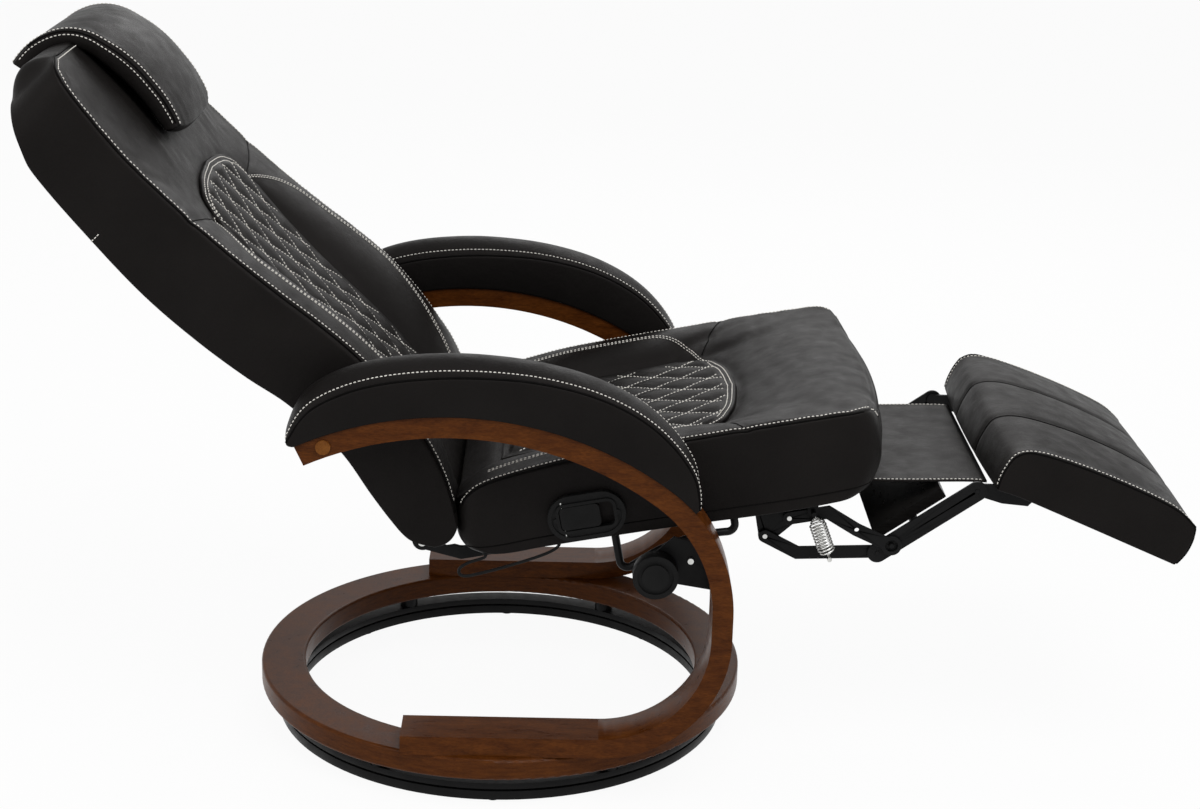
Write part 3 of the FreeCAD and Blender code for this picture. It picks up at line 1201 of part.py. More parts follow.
def spring_shape():
    """A wire that leaves one peg square, winds round the axis and meets the other peg square."""
    wire = size("spring_wire")
    radius = size("spring_radius")
    turns = size("spring_turns")
    length = math.dist(spring_top, spring_foot)
    peg = size("spring_peg_radius")
    lead = 3 * wire
    loop = 5 * wire
    low = peg + lead + loop
    high = length - low
    pitch = (high - low) / turns
    slope = math.hypot(2 * math.pi * radius, pitch)
    up = Vector(0, 0, 1)
    stations = [(Vector(0, 0, peg), up), (Vector(0, 0, peg + lead), up)]
    quarters = int(4 * turns)
    for i in range(quarters + 1):
        angle = i * math.pi / 2
        point = Vector(radius * math.cos(angle), radius * math.sin(angle), low + pitch * i / 4)
        round_way = Vector(-math.sin(angle), math.cos(angle), 0) * (2 * math.pi * radius)
        stations.append((point, (round_way + up * pitch) / slope))
    stations += [(Vector(0, 0, length - peg - lead), up), (Vector(0, 0, length - peg), up)]
    edges = []
    for (start, start_way), (end, end_way) in zip(stations, stations[1:]):
        edges += biarc(start, start_way, end, end_way)
    path = Part.Wire(edges)
    per_turn = 60
    apart = int(0.6 * per_turn)
    points = path.discretize(Number=int(per_turn * turns))
    least = min((points[i] - points[j]).Length
                for i in range(len(points)) for j in range(i + apart, len(points)))
    print("spring length", round(path.Length, 1), "least gap to itself", round(least - 2 * wire, 2))
    return tube_along(path, wire)


spring_way = Vector(spring_top[0] - spring_foot[0], 0, spring_top[1] - spring_foot[1])
spring_lean = FreeCAD.Rotation(Vector(0, 0, 1), spring_way)
for side_name, side in SIDES:
    spring = solid_feature(f"Spring_{side_name}", spring_shape())
    spring_base = Vector(spring_foot[0], side * size("spring_spread"), spring_foot[1])
    spring.Placement = FreeCAD.Placement(spring_base, spring_lean)
    sub_part(spring, f"footrest_spring_{side_name}")

# Leg flap: a leather strip from the seat's underside to the footrest.

flap_rear_along = (size("flap_rear_x") - seat_corner[0]) / math.cos(math.radians(size("seat_tilt")))
flap_rear = seat_point(flap_rear_along, -size("flap_thickness") / 2 - size("side_clearance"))
flap_points = [flap_rear, (size("flap_fold_x"), size("flap_fold_z")),
               (size("flap_front_x"), size("flap_front_z"))]
flap_top = offset_line(flap_points, size("flap_thickness") / 2)
flap_under = offset_line(flap_points, -size("flap_thickness") / 2)
flap_outline = Outline(flap_top[0]).line(*flap_top[1:]).line(*flap_under[::-1]).close()
sub_part(plate("LegFlap", flap_outline, [], "2 * flap_half_width", 0), "leg_flap")

# Footrest: a channelled pad on a board, with brackets down to the front links.

foot_point = axes((size("foot_x"), size("foot_z")), -size("foot_tilt"))
foot_low = size("foot_low")


def foot_outline(crown, draw):
    """Section of the pad: flat underside, rounded ends and a crowned top."""
    length = size("foot_length") - draw
    top = foot_low + size("foot_thickness") + crown - draw
    low = foot_low + draw
    outline = Outline(foot_point(8 + draw, low)).line(foot_point(length - 16, low))
    outline.arc(foot_point(length, 34), foot_point(length - 13, top - 11 - crown * 0.4))
    outline.arc(foot_point(length * 0.53, top), foot_point(13 + draw, top - 15 - crown * 0.5))
    return outline.arc(foot_point(-2 + draw, 34), foot_point(8 + draw, low))


def foot_cushion_shape():
    half = size("foot_half_width")
    crown = size("foot_crown")
    channel_y = size("foot_channel_y")
    channel = size("foot_channel")
    draw = size("foot_side_draw")
    bank = size("foot_channel_bank")
    pairs = [(0, foot_outline(crown, 0)), (channel_y - bank, foot_outline(crown * 0.9, 0)),
             (channel_y, foot_outline(crown * 0.9 - channel, 0)),
             (channel_y + bank, foot_outline(crown * 0.85, 0)),
             (half - 2 * bank, foot_outline(crown * 0.6, 0)), (half - draw, foot_outline(0, 0)),
             (half, foot_outline(0, draw))]
    return loft(mirrored(pairs))


board_inset = size("foot_board_inset")
foot_board = bind(doc.addObject("Part::Box", "FootBoard"),
                  Length="foot_length - foot_board_inset - foot_board_front_inset",
                  Width="2 * foot_board_half_width", Height="foot_board_thickness")
board_x, board_z = foot_point(board_inset, foot_low)
foot_board.Placement = FreeCAD.Placement(Vector(board_x, -size("foot_board_half_width"), board_z),
                                         FreeCAD.Rotation(Vector(0, 1, 0), size("foot_tilt")))
foot_blank = solid_feature("FootBlank", foot_cushion_shape())
sub_part(cut("FootCushion", foot_blank, foot_board), "footrest_cushion")
sub_part(foot_board, "footrest_board")


def foot_bracket_outline():
    """Screwed under the footrest board and brought back round its hinge."""
    reach = 2.8 * pin_radius
    x, z = foot_hinge
    outline = Outline(foot_point(board_inset, foot_low)).line(foot_point(66, foot_low), foot_point(62, -6))
    outline.line(foot_point(30, -16), (x + 4, z - reach)).arc((x - reach, z), (x - 2, z + reach))
    return outline.close()


for side_name, side in SIDES:
    bracket = plate(f"FootBracket_{side_name}", foot_bracket_outline(), [(foot_hinge, pin_fit)],
                    "link_thickness", layer(1, side))
    sub_part(bracket, f"footrest_bracket_{side_name}")

doc.recompute()

for obj in doc.Objects:
    if "Invalid" in obj.State or "Error" in obj.State:
        raise RuntimeError(f"{obj.Name} did not build: {obj.State}")
for obj in sub_parts:
    if obj.Shape.isNull() or not obj.Shape.isValid() or not obj.Shape.Solids:
        raise RuntimeError(f"{obj.Label} has no valid solid")

os.makedirs("parts", exist_ok=True)
for obj in sub_parts:
    obj.Shape.exportStep(f"parts/{obj.Label}.step")
print("sub-parts", len(sub_parts))
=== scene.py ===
import json
import math
from dataclasses import dataclass
from itertools import product

import bmesh
import bpy
from mathutils import Matrix, Vector
from mathutils.bvhtree import BVHTree


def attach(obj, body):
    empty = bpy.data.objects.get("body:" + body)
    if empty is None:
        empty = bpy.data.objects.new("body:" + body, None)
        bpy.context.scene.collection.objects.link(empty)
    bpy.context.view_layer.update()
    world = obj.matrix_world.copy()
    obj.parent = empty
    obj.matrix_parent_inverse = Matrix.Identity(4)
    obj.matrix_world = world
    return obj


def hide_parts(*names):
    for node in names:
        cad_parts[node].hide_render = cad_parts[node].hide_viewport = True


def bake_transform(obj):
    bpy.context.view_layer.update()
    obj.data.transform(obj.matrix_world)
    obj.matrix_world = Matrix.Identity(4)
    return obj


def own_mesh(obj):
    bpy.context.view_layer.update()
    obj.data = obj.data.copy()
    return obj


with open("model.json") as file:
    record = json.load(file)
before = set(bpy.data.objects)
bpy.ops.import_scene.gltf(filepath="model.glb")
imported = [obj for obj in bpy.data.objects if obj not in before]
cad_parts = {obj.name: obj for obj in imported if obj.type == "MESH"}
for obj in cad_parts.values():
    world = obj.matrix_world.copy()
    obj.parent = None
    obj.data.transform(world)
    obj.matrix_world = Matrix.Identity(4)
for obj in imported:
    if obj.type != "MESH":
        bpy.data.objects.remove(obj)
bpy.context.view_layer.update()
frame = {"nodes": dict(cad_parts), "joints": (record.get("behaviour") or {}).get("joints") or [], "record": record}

# Swivel recliner in black leather on bent wood. Sizes are in millimetres, in each piece's own axes.

MM = 0.001
scene = bpy.context.scene
nodes = frame["nodes"]
SIDES = (("right", -1), ("left", 1))

# Places in the XZ plane and tilts in degrees of the main pieces.

recline = next(joint for joint in frame["joints"] if joint["name"] == "recline")
BACK_PIVOT = (recline["pos_m"][0] / MM, recline["pos_m"][2] / MM)
BACK_ANGLE = 135.5
SEAT_CORNER, SEAT_ANGLE = (-6, 317), 10.9
FOOT_CORNER, FOOT_ANGLE = (620, 400), -22.5
ARM_CENTRE, ARM_RADIUS = (-55, 74.5), 445
BEND_CENTRE, BEND_RADIUS = (89.3, 266.7), 204.7
FRAME_Y = 291


def plane_axes(origin, degrees):
    """A function from a length and a height in a tilted plane, and y, to a point in metres."""
    along = (math.cos(math.radians(degrees)), math.sin(math.radians(degrees)))

    def point(length, height, y):
        x = origin[0] + length * along[0] - height * along[1]
        z = origin[1] + length * along[1] + height * along[0]
        return Vector((x, y, z)) * MM

    return point


back_axes = plane_axes(BACK_PIVOT, BACK_ANGLE)
seat_point = plane_axes(SEAT_CORNER, SEAT_ANGLE)
foot_point = plane_axes(FOOT_CORNER, FOOT_ANGLE)


def back_point(up, forward, y):
    """A point of the back, whose front looks against the height of its plane."""
    return back_axes(up, -forward, y)


def polar(centre, radius, degrees):
    """A point at an angle to the front of straight up from a centre."""
    angle = math.radians(degrees)
    return (centre[0] + radius * math.sin(angle), centre[1] + radius * math.cos(angle))


# Curves through a few points, stations and bulges.


def smooth(points):
    """A smooth function through points, flat beyond its ends."""
    slopes = []
    last = len(points) - 1
    for i in range(len(points)):
        before, after = points[max(i - 1, 0)], points[min(i + 1, last)]
        slopes.append((after[1] - before[1]) / (after[0] - before[0]))

    def value(x):
        if x <= points[0][0]:
            return points[0][1]
        if x >= points[last][0]:
            return points[last][1]
        i = next(k for k in range(last) if x <= points[k + 1][0])
        (x0, y0), (x1, y1) = points[i], points[i + 1]
        span = x1 - x0
        f = (x - x0) / span
        rise = y1 - y0
        a = slopes[i] * span - rise
        b = rise - slopes[i + 1] * span
        return y0 + f * rise + f * (1 - f) * (a * (1 - f) + b * f)

    return value


def line_of(make_point, first, last, count=60):
    """Points of a function of one number."""
    return [make_point(first + (last - first) * i / count) for i in range(count + 1)]


NEAR_SEAM = (0, 2.5, 5, 9, 15)
FINE = (0, 3, 6, 10)


def stations(length, step, closer):
    """Shares of a length from 0 to 1, evenly spaced, with closer ones near both ends."""
    count = max(2, round((length - 2 * closer[-1]) / step))
    inner = [closer[-1] + (length - 2 * closer[-1]) * i / count for i in range(count + 1)]
    near = list(closer[:-1])
    return [d / length for d in near + inner + [length - d for d in near[::-1]]]


def bump_at(distance, width):
    """A bell curve of the distance from a seam."""
    return math.exp(-(distance / width) ** 2)


def swelling(w):
    """A bulge that is full half way up a panel and nothing at its edges."""
    return 4 * w * (1 - w)


def side_bulge(y, t, w, bulge):
    """y, moved out where it lies on a side panel."""
    return y + math.copysign(bulge * swelling(w), y) if t in (0, 1) else y


def end_bulge(along, s, w, low, high):
    """A place along a cushion, moved out where it lies on an end panel."""
    return along + (high if s else -low) * swelling(w) if s in (0, 1) else along


def seam_pucker(from_edge):
    """The raised line and the valley of a stitched edge."""
    return 1.2 * bump_at(from_edge - 8, 5) - 2.0 * bump_at(from_edge, 2.5)


def edge_ripple(wave, from_edge, height=0.35, width=13):
    """Small puckers beside a stitched edge."""
    return height * math.sin(wave) * bump_at(from_edge - 14, width)


# Objects, their modifiers and their places in the frame.


def add_object(name, data):
    obj = bpy.data.objects.new(name, data)
    scene.collection.objects.link(obj)
    return obj


def set_all(target, settings):
    for name, value in settings.items():
        setattr(target, name, value)


def modify(obj, kind, **settings):
    """Give an object a modifier."""
    modifier = obj.modifiers.new(kind.lower(), kind)
    set_all(modifier, settings)
    return modifier


def put_on(obj, body, node):
    """Let a piece ride on a body in the place of a node."""
    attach(obj, body)
    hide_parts(node)


# Camera at the photograph's viewing angle.

IMAGE_WIDTH = 1200
FOCAL_PIXELS = 2200
SENSOR = 36
CAMERA_AT = Vector((76, -2807, 1362)) * MM
YAW, PITCH, ROLL = (math.radians(angle) for angle in (1.07, 18.29, 1.58))


def make_camera():
    data = bpy.data.cameras.new("camera")
    data.sensor_width = SENSOR
    data.lens = FOCAL_PIXELS / IMAGE_WIDTH * SENSOR
    camera = add_object("camera", data)
    turn = (Matrix.Rotation(-YAW, 4, "Z") @ Matrix.Rotation(math.pi / 2 - PITCH, 4, "X")
            @ Matrix.Rotation(ROLL, 4, "Z"))
    camera.matrix_world = Matrix.Translation(CAMERA_AT) @ turn
    scene.camera = camera


make_camera()

# Materials.


class NodeTree:
    """The nodes of a material or a world, and short ways to add more."""

    def __init__(self, owner):
        owner.use_nodes = True
        self.tree = owner.node_tree

    def set(self, node, inputs):
        """Set each input of a node to a value, or link it to another node's output."""
        for name, value in inputs.items():
            if isinstance(value, bpy.types.NodeSocket):
                self.tree.links.new(value, node.inputs[name])
            else:
                node.inputs[name].default_value = value

    def add(self, kind, **inputs):
        node = self.tree.nodes.new("ShaderNode" + kind)
        self.set(node, inputs)
        return node

    def math(self, operation, first, second):
        node = self.add("Math")
        node.operation = operation
        self.set(node, {0: first, 1: second})
        return node.outputs["Value"]

    def show_white(self, lit, white_kind, output, share):
        """Mix white of strength 1 into what the camera and reflections see of a surround."""
        white = self.add(white_kind, Color=(1, 1, 1, 1), Strength=1.0)
        path = self.add("LightPath").outputs
        seen = path["Is Camera Ray"]
        for ray in ("Is Glossy Ray", "Is Transmission Ray"):
            seen = self.math("MAXIMUM", seen, path[ray])
        mix = self.add("MixShader", Fac=self.math("MULTIPLY", seen, share))
        self.set(mix, {1: lit, 2: white.outputs[0]})
        self.set(self.tree.nodes[output], {"Surface": mix.outputs["Shader"]})


class Surface(NodeTree):
    """A material with one shader and its textures."""

    def __init__(self, name, metallic=0.0, specular=0.5):
        self.material = bpy.data.materials.new(name)
        super().__init__(self.material)
        self.shader = self.tree.nodes["Principled BSDF"]
        self.place = self.add("TexCoord").outputs["Object"]
        self.set(self.shader, {"Metallic": metallic, "Specular IOR Level": specular})

    def noise(self, scale, detail=3.0, roughness=0.5, place=None):
        node = self.add("TexNoise", Scale=scale, Detail=detail, Roughness=roughness,
                        Vector=place or self.place)
        return node.outputs["Fac"]

    def ramp(self, value, dark, light, low=0.3, high=0.7):
        """A colour or a grey level from dark to light, for a value from low to high."""
        node = self.add("ValToRGB", Fac=value)
        for element, at, level in zip(node.color_ramp.elements, (low, high), (dark, light)):
            element.position = at
            element.color = (*level, 1) if isinstance(level, tuple) else (level, level, level, 1)
        return node.outputs["Color"]

    def multiply(self, share, first, second):
        node = self.add("Mix")
        node.data_type = "RGBA"
        node.blend_type = "MULTIPLY"
        self.set(node, {"Factor": share, "A": first, "B": second})
        return node.outputs["Result"]

    def bump(self, height, strength, distance, **under):
        node = self.add("Bump", Strength=strength, Distance=distance, Height=height, **under)
        return node.outputs["Normal"]

    def finish(self, inputs):
        """Set the shader's inputs, and give the material."""
        self.set(self.shader, inputs)
        return self.material


def leather_material():
    """Black leather with a brown-grey sheen, fine pebbled grain and soft creases."""
    skin = Surface("black_leather", specular=0.065)
    creases = skin.bump(skin.noise(60, 5, 0.6), 0.16, 0.004)
    pebbles = skin.add("TexVoronoi", Scale=700, Vector=skin.place)
    pebbles.feature = "DISTANCE_TO_EDGE"
    grain = skin.ramp(pebbles.outputs["Distance"], 0.0, 1.0, 0.0, 0.32)
    dark, light = (0.0064, 0.0057, 0.0054), (0.0095, 0.0085, 0.008)
    return skin.finish({"Base Color": skin.ramp(skin.noise(9, 4), dark, light),
                        "Specular Tint": (1.0, 0.93, 0.92, 1),
                        "Roughness": skin.ramp(skin.noise(45, 4), 0.36, 0.5),
                        "Normal": skin.bump(grain, 0.22, 0.0006, Normal=creases)})


def thread_material():
    """Cream twisted thread."""
    thread = Surface("cream_thread")
    twist = thread.noise(900, 2)
    return thread.finish({"Base Color": thread.ramp(twist, (0.7, 0.67, 0.61), (0.9, 0.87, 0.81)),
                          "Roughness": 0.6, "Sheen Weight": 0.3,
                          "Normal": thread.bump(twist, 0.4, 0.0004)})


def wood_material(name, stretch, light, dark):
    """Satin lacquer over stained wood, with its grain drawn out along the stock."""
    wood = Surface(name, specular=0.06)
    grain_place = wood.add("Mapping", Scale=stretch, Vector=wood.place).outputs["Vector"]
    figure = wood.noise(3.2, 5, 0.62, grain_place)
    pores = wood.noise(26, 3, 0.5, grain_place)
    stain = wood.ramp(figure, dark, light, 0.32, 0.68)
    fine = wood.ramp(pores, 0.62, 1.0, 0.35, 0.6)
    return wood.finish({"Base Color": wood.multiply(0.8, stain, fine),
                        "Roughness": wood.ramp(figure, 0.26, 0.4, 0.3, 0.75),
                        "Coat Weight": 0.03, "Coat Roughness": 0.2,
                        "Normal": wood.bump(pores, 0.08, 0.0006)})


def grained_material(name, colours, mottle, roughness, grain, metallic=0.0, specular=0.1):
    """A mottled, fine-grained surface; its roughness is one number, or a scale and two levels."""
    coat = Surface(name, metallic, specular)
    if isinstance(roughness, tuple):
        scale, least, most = roughness
        roughness = coat.ramp(coat.noise(scale), least, most)
    scale, strength, depth = grain
    return coat.finish({"Base Color": coat.ramp(coat.noise(mottle), *colours),
                        "Roughness": roughness,
                        "Normal": coat.bump(coat.noise(scale, 2), strength, depth)})


LEATHER = leather_material()
# Welt cords: the same black leather made darker and duller, as painted shade of the seams' grooves.
WELT_PAINTED_SHADE = grained_material("welt_leather_painted_shade", ((0.002, 0.0018, 0.0017), (0.004, 0.0036, 0.0034)), 120,
                        0.5, (700, 0.25, 0.0005), specular=0.03)
THREAD = thread_material()
LACQUER = (0.115, 0.034, 0.006), (0.062, 0.0165, 0.0028)
ARM_WOOD = wood_material("lacquered_arm_wood", (7, 30, 30), *LACQUER)
RING_WOOD = wood_material("lacquered_ring_wood", (14, 14, 90), *LACQUER)
PLYWOOD = wood_material("black_stained_plywood", (6, 30, 140), (0.012, 0.011, 0.0105),
                        (0.007, 0.0065, 0.006))
CAP_WOOD = wood_material("cap_wood", (30, 7, 30), (0.22, 0.08, 0.016), (0.15, 0.05, 0.009))
BLACK_STEEL = grained_material("black_powder_coat",
                               ((0.005, 0.005, 0.0052), (0.008, 0.008, 0.0083)), 30,
                               (80, 0.3, 0.45), (1400, 0.12, 0.0004))
ZINC = grained_material("zinc_plate", ((0.56, 0.56, 0.54), (0.75, 0.75, 0.73)), 150,
                        (300, 0.2, 0.38), (1200, 0.08, 0.0003), metallic=1.0, specular=0.5)
PLASTIC = grained_material("black_plastic", (0.006, 0.0095), 40, (200, 0.38, 0.52),
                           (2200, 0.18, 0.0003))
JACKET = grained_material("cable_jacket", (0.006, 0.009), 60, 0.55, (900, 0.15, 0.0003))

SLOT_FINISH = {"lacquered_wood": ARM_WOOD, "plywood": PLYWOOD, "black_steel": BLACK_STEEL,
               "zinc_steel": ZINC, "black_plastic": PLASTIC, "cable_jacket": JACKET}
NODE_FINISH = {"wood_ring": RING_WOOD, "pivot_caps": CAP_WOOD}
EASED_EDGES = {"handle_bezel": 1.6, "release_paddle": 1.2, "pivot_caps": 0.8, "floor_ring": 1.2,
               "top_ring": 1.2, "middle_board": 1.5, "footrest_board": 1.5}
EASED_PAIRS = {"arm_frame": 3.5, "lock_knob": 0.8, "lower_link": 0.6, "upper_link": 0.6,
               "front_link": 0.6, "clamp_plate": 0.5, "link_bracket": 0.6}
WELD_REACH = 0.05
SHARP_ANGLE = 38


def dress_cad_nodes():
    """Give every node that is seen as its solid its finish."""
    for part in frame["record"]["subparts"]:
        finish = NODE_FINISH.get(part["node"], SLOT_FINISH.get(part["material_slot"]))
        if finish:
            mesh = nodes[part["node"]].data
            mesh.materials.clear()
            mesh.materials.append(finish)


def ease_edges(node, radius):
    """Round the sharp edges of a node as it is drawn."""
    modify(nodes[node], "WELD", merge_threshold=WELD_REACH * MM)
    modify(nodes[node], "BEVEL", width=radius * MM, segments=3, limit_method="ANGLE",
           angle_limit=math.radians(SHARP_ANGLE), harden_normals=True, use_clamp_overlap=True)


dress_cad_nodes()
for node, radius in EASED_EDGES.items():
    ease_edges(node, radius)
for kind, radius in EASED_PAIRS.items():
    for side_name, _ in SIDES:
        ease_edges(f"{kind}_{side_name}", radius)

# Release cable: a short black loop under the seat, from one gland to the other.

CABLE_ROUTE = [
    (78, -236, 333.17), (79.65, -236, 324.6), (66, -237, 315), (43, -238, 306), (20, -238, 298),
    (-4, -238, 290), (-25, -238, 284), (-40, -237.5, 280), (-49, -237, 283), (-47.5, -236.5, 292),
    (-36, -236, 299), (-22, -236, 303.5), (-13.2, -236, 307), (-14.8, -236, 315.3),
]
CABLE_DIAMETER = 4


def make_cable():
    data = bpy.data.curves.new("release_cable_line", "CURVE")
    data.dimensions = "3D"
    data.bevel_depth = CABLE_DIAMETER / 2 * MM
    data.bevel_resolution = 4
    data.use_fill_caps = True
    spline = data.splines.new("NURBS")
    spline.points.add(len(CABLE_ROUTE) - 1)
    for point, place in zip(spline.points, CABLE_ROUTE):
        point.co = (*(Vector(place) * MM), 1)
    spline.order_u = 3
    spline.use_endpoint_u = True
    spline.resolution_u = 8
    cable = add_object("release_cable_line", data)
    data.materials.append(JACKET)
    put_on(cable, "seat", "release_cable")
    Vector(CABLE_ROUTE[0]) * MM


make_cable()

# Meshes.

TINY = 1e-9


def new_object(name, verts, faces, *materials):
    mesh = bpy.data.meshes.new(name)
    mesh.from_pydata([tuple(v) for v in verts], [], faces)
    work = bmesh.new()
    work.from_mesh(mesh)
    bmesh.ops.recalc_face_normals(work, faces=work.faces)
    work.to_mesh(mesh)
    work.free()
    for polygon in mesh.polygons:
        polygon.use_smooth = True
    for material in materials:
        mesh.materials.append(material)
    return add_object(name, mesh)


def grid_faces(rows, columns):
    """Quads over rows of verts."""
    wide = columns + 1
    corners = [i * wide + j for i in range(rows) for j in range(columns)]
    return [(corner, corner + 1, corner + wide + 1, corner + wide) for corner in corners]


def turn_faces(obj, way):
    """Make an open sheet's faces look a way."""
    if obj.data.polygons[0].normal.dot(way) < 0:
        obj.data.flip_normals()


def surface_of(obj):
    """A search tree on the piece as it is drawn."""
    bpy.context.view_layer.update()
    return BVHTree.FromObject(obj, bpy.context.evaluated_depsgraph_get())


# Seams: stitches are short lengths of thread laid along a line, and a welt is a cord sunk in the seam, darkened
# with painted shade of the seam's groove.

STITCH = 3.5
STITCH_GAP = 1.9
THREAD_RADIUS = 0.7
THREAD_SIDES = 6
STITCH_RINGS = ((-0.5, 0.45, -0.8), (-0.3, 1.0, 0.0), (0.3, 1.0, 0.0), (0.5, 0.45, -0.8))
THREAD_LIFT = 0.45
WELT_RADIUS = 1.5
WELT_STEP = 0.5
SEWN_REACH = 40
STEEPEST = 0.2
SEAM_ROW = 6
WELT_ROW = 0.5


class Tubes:
    """Lengths of thread, cord or wire, gathered into one mesh."""

    def __init__(self, name, material, sides=THREAD_SIDES):
        self.name, self.material, self.sides = name, material, sides
        self.verts = []
        self.faces = []

    def ring(self, centre, side, normal, radius):
        for i in range(self.sides):
            angle = 2 * math.pi * i / self.sides
            spoke = side * math.cos(angle) + normal * math.sin(angle)
            self.verts.append(centre + spoke * (radius * MM))

    def skin(self, base, rings):
        """Faces over rings of verts that follow each other, closed at both ends."""
        for ring in range(rings - 1):
            low = base + ring * self.sides
            high = low + self.sides
            for i in range(self.sides):
                after = (i + 1) % self.sides
                self.faces.append((low + i, low + after, high + after, high + i))
        last = base + (rings - 1) * self.sides
        self.faces.append(tuple(base + i for i in range(self.sides))[::-1])
        self.faces.append(tuple(last + i for i in range(self.sides)))

    def stitch(self, centre, way, normal):
        side = way.cross(normal).normalized()
        base = len(self.verts)
        for along, swell, dip in STITCH_RINGS:
            at = centre + way * (along * STITCH * MM) + normal * (dip * THREAD_RADIUS * MM)
            self.ring(at, side, normal, swell * THREAD_RADIUS)
        self.skin(base, len(STITCH_RINGS))

    def row(self, line, surface):
        """Stitches along a line of points, each set down on the surface nearest to it."""
        pitch = (STITCH + STITCH_GAP) * MM
        carried = pitch / 2
        for start, end in zip(line, line[1:]):
            run = (end - start).length
            if run < TINY:
                continue
            way = (end - start) / run
            at = carried
            while at < run:
                spot, normal, *_ = surface.find_nearest(start + way * at, SEWN_REACH * MM)
                if spot is not None:
                    flat_way = way - normal * way.dot(normal)
                    if flat_way.length > STEEPEST:
                        centre = spot + normal * (THREAD_LIFT * MM)
                        self.stitch(centre, flat_way.normalized(), normal)
                at += pitch
            carried = at - run

    def welt(self, line, surface, radius=WELT_RADIUS):
        """A cord along a line of points, half sunk into the surface nearest to it."""
        spots = []
        for point in line:
            spot, normal, *_ = surface.find_nearest(point, SEWN_REACH * MM)
            if spot is not None and (not spots or (spot - spots[-1][0]).length > WELT_STEP * MM):
                spots.append((spot, normal))
        base = len(self.verts)
        for i, (spot, normal) in enumerate(spots):
            way = spots[min(i + 1, len(spots) - 1)][0] - spots[max(i - 1, 0)][0]
            side = way.cross(normal).normalized()
            self.ring(spot, side, side.cross(way).normalized(), radius)
        self.skin(base, len(spots))

    def make(self):
        return new_object(self.name, self.verts, self.faces, self.material)

    def finish(self, body, slot="upholstery"):
        obj = self.make()
        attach(obj, body)
        return obj


# Padded pieces: closed skins on the six sides of a box, blown up by cloth simulation.

SKIN_STEP = 7.5
BLOW_FRAMES = 20
CLOTH = {"quality": 4, "mass": 0.3, "use_pressure": True, "uniform_pressure_force": 4.0,
         "vertex_group_mass": "held", "tension_stiffness": 12, "compression_stiffness": 12,
         "shear_stiffness": 5, "bending_stiffness": 0.6}


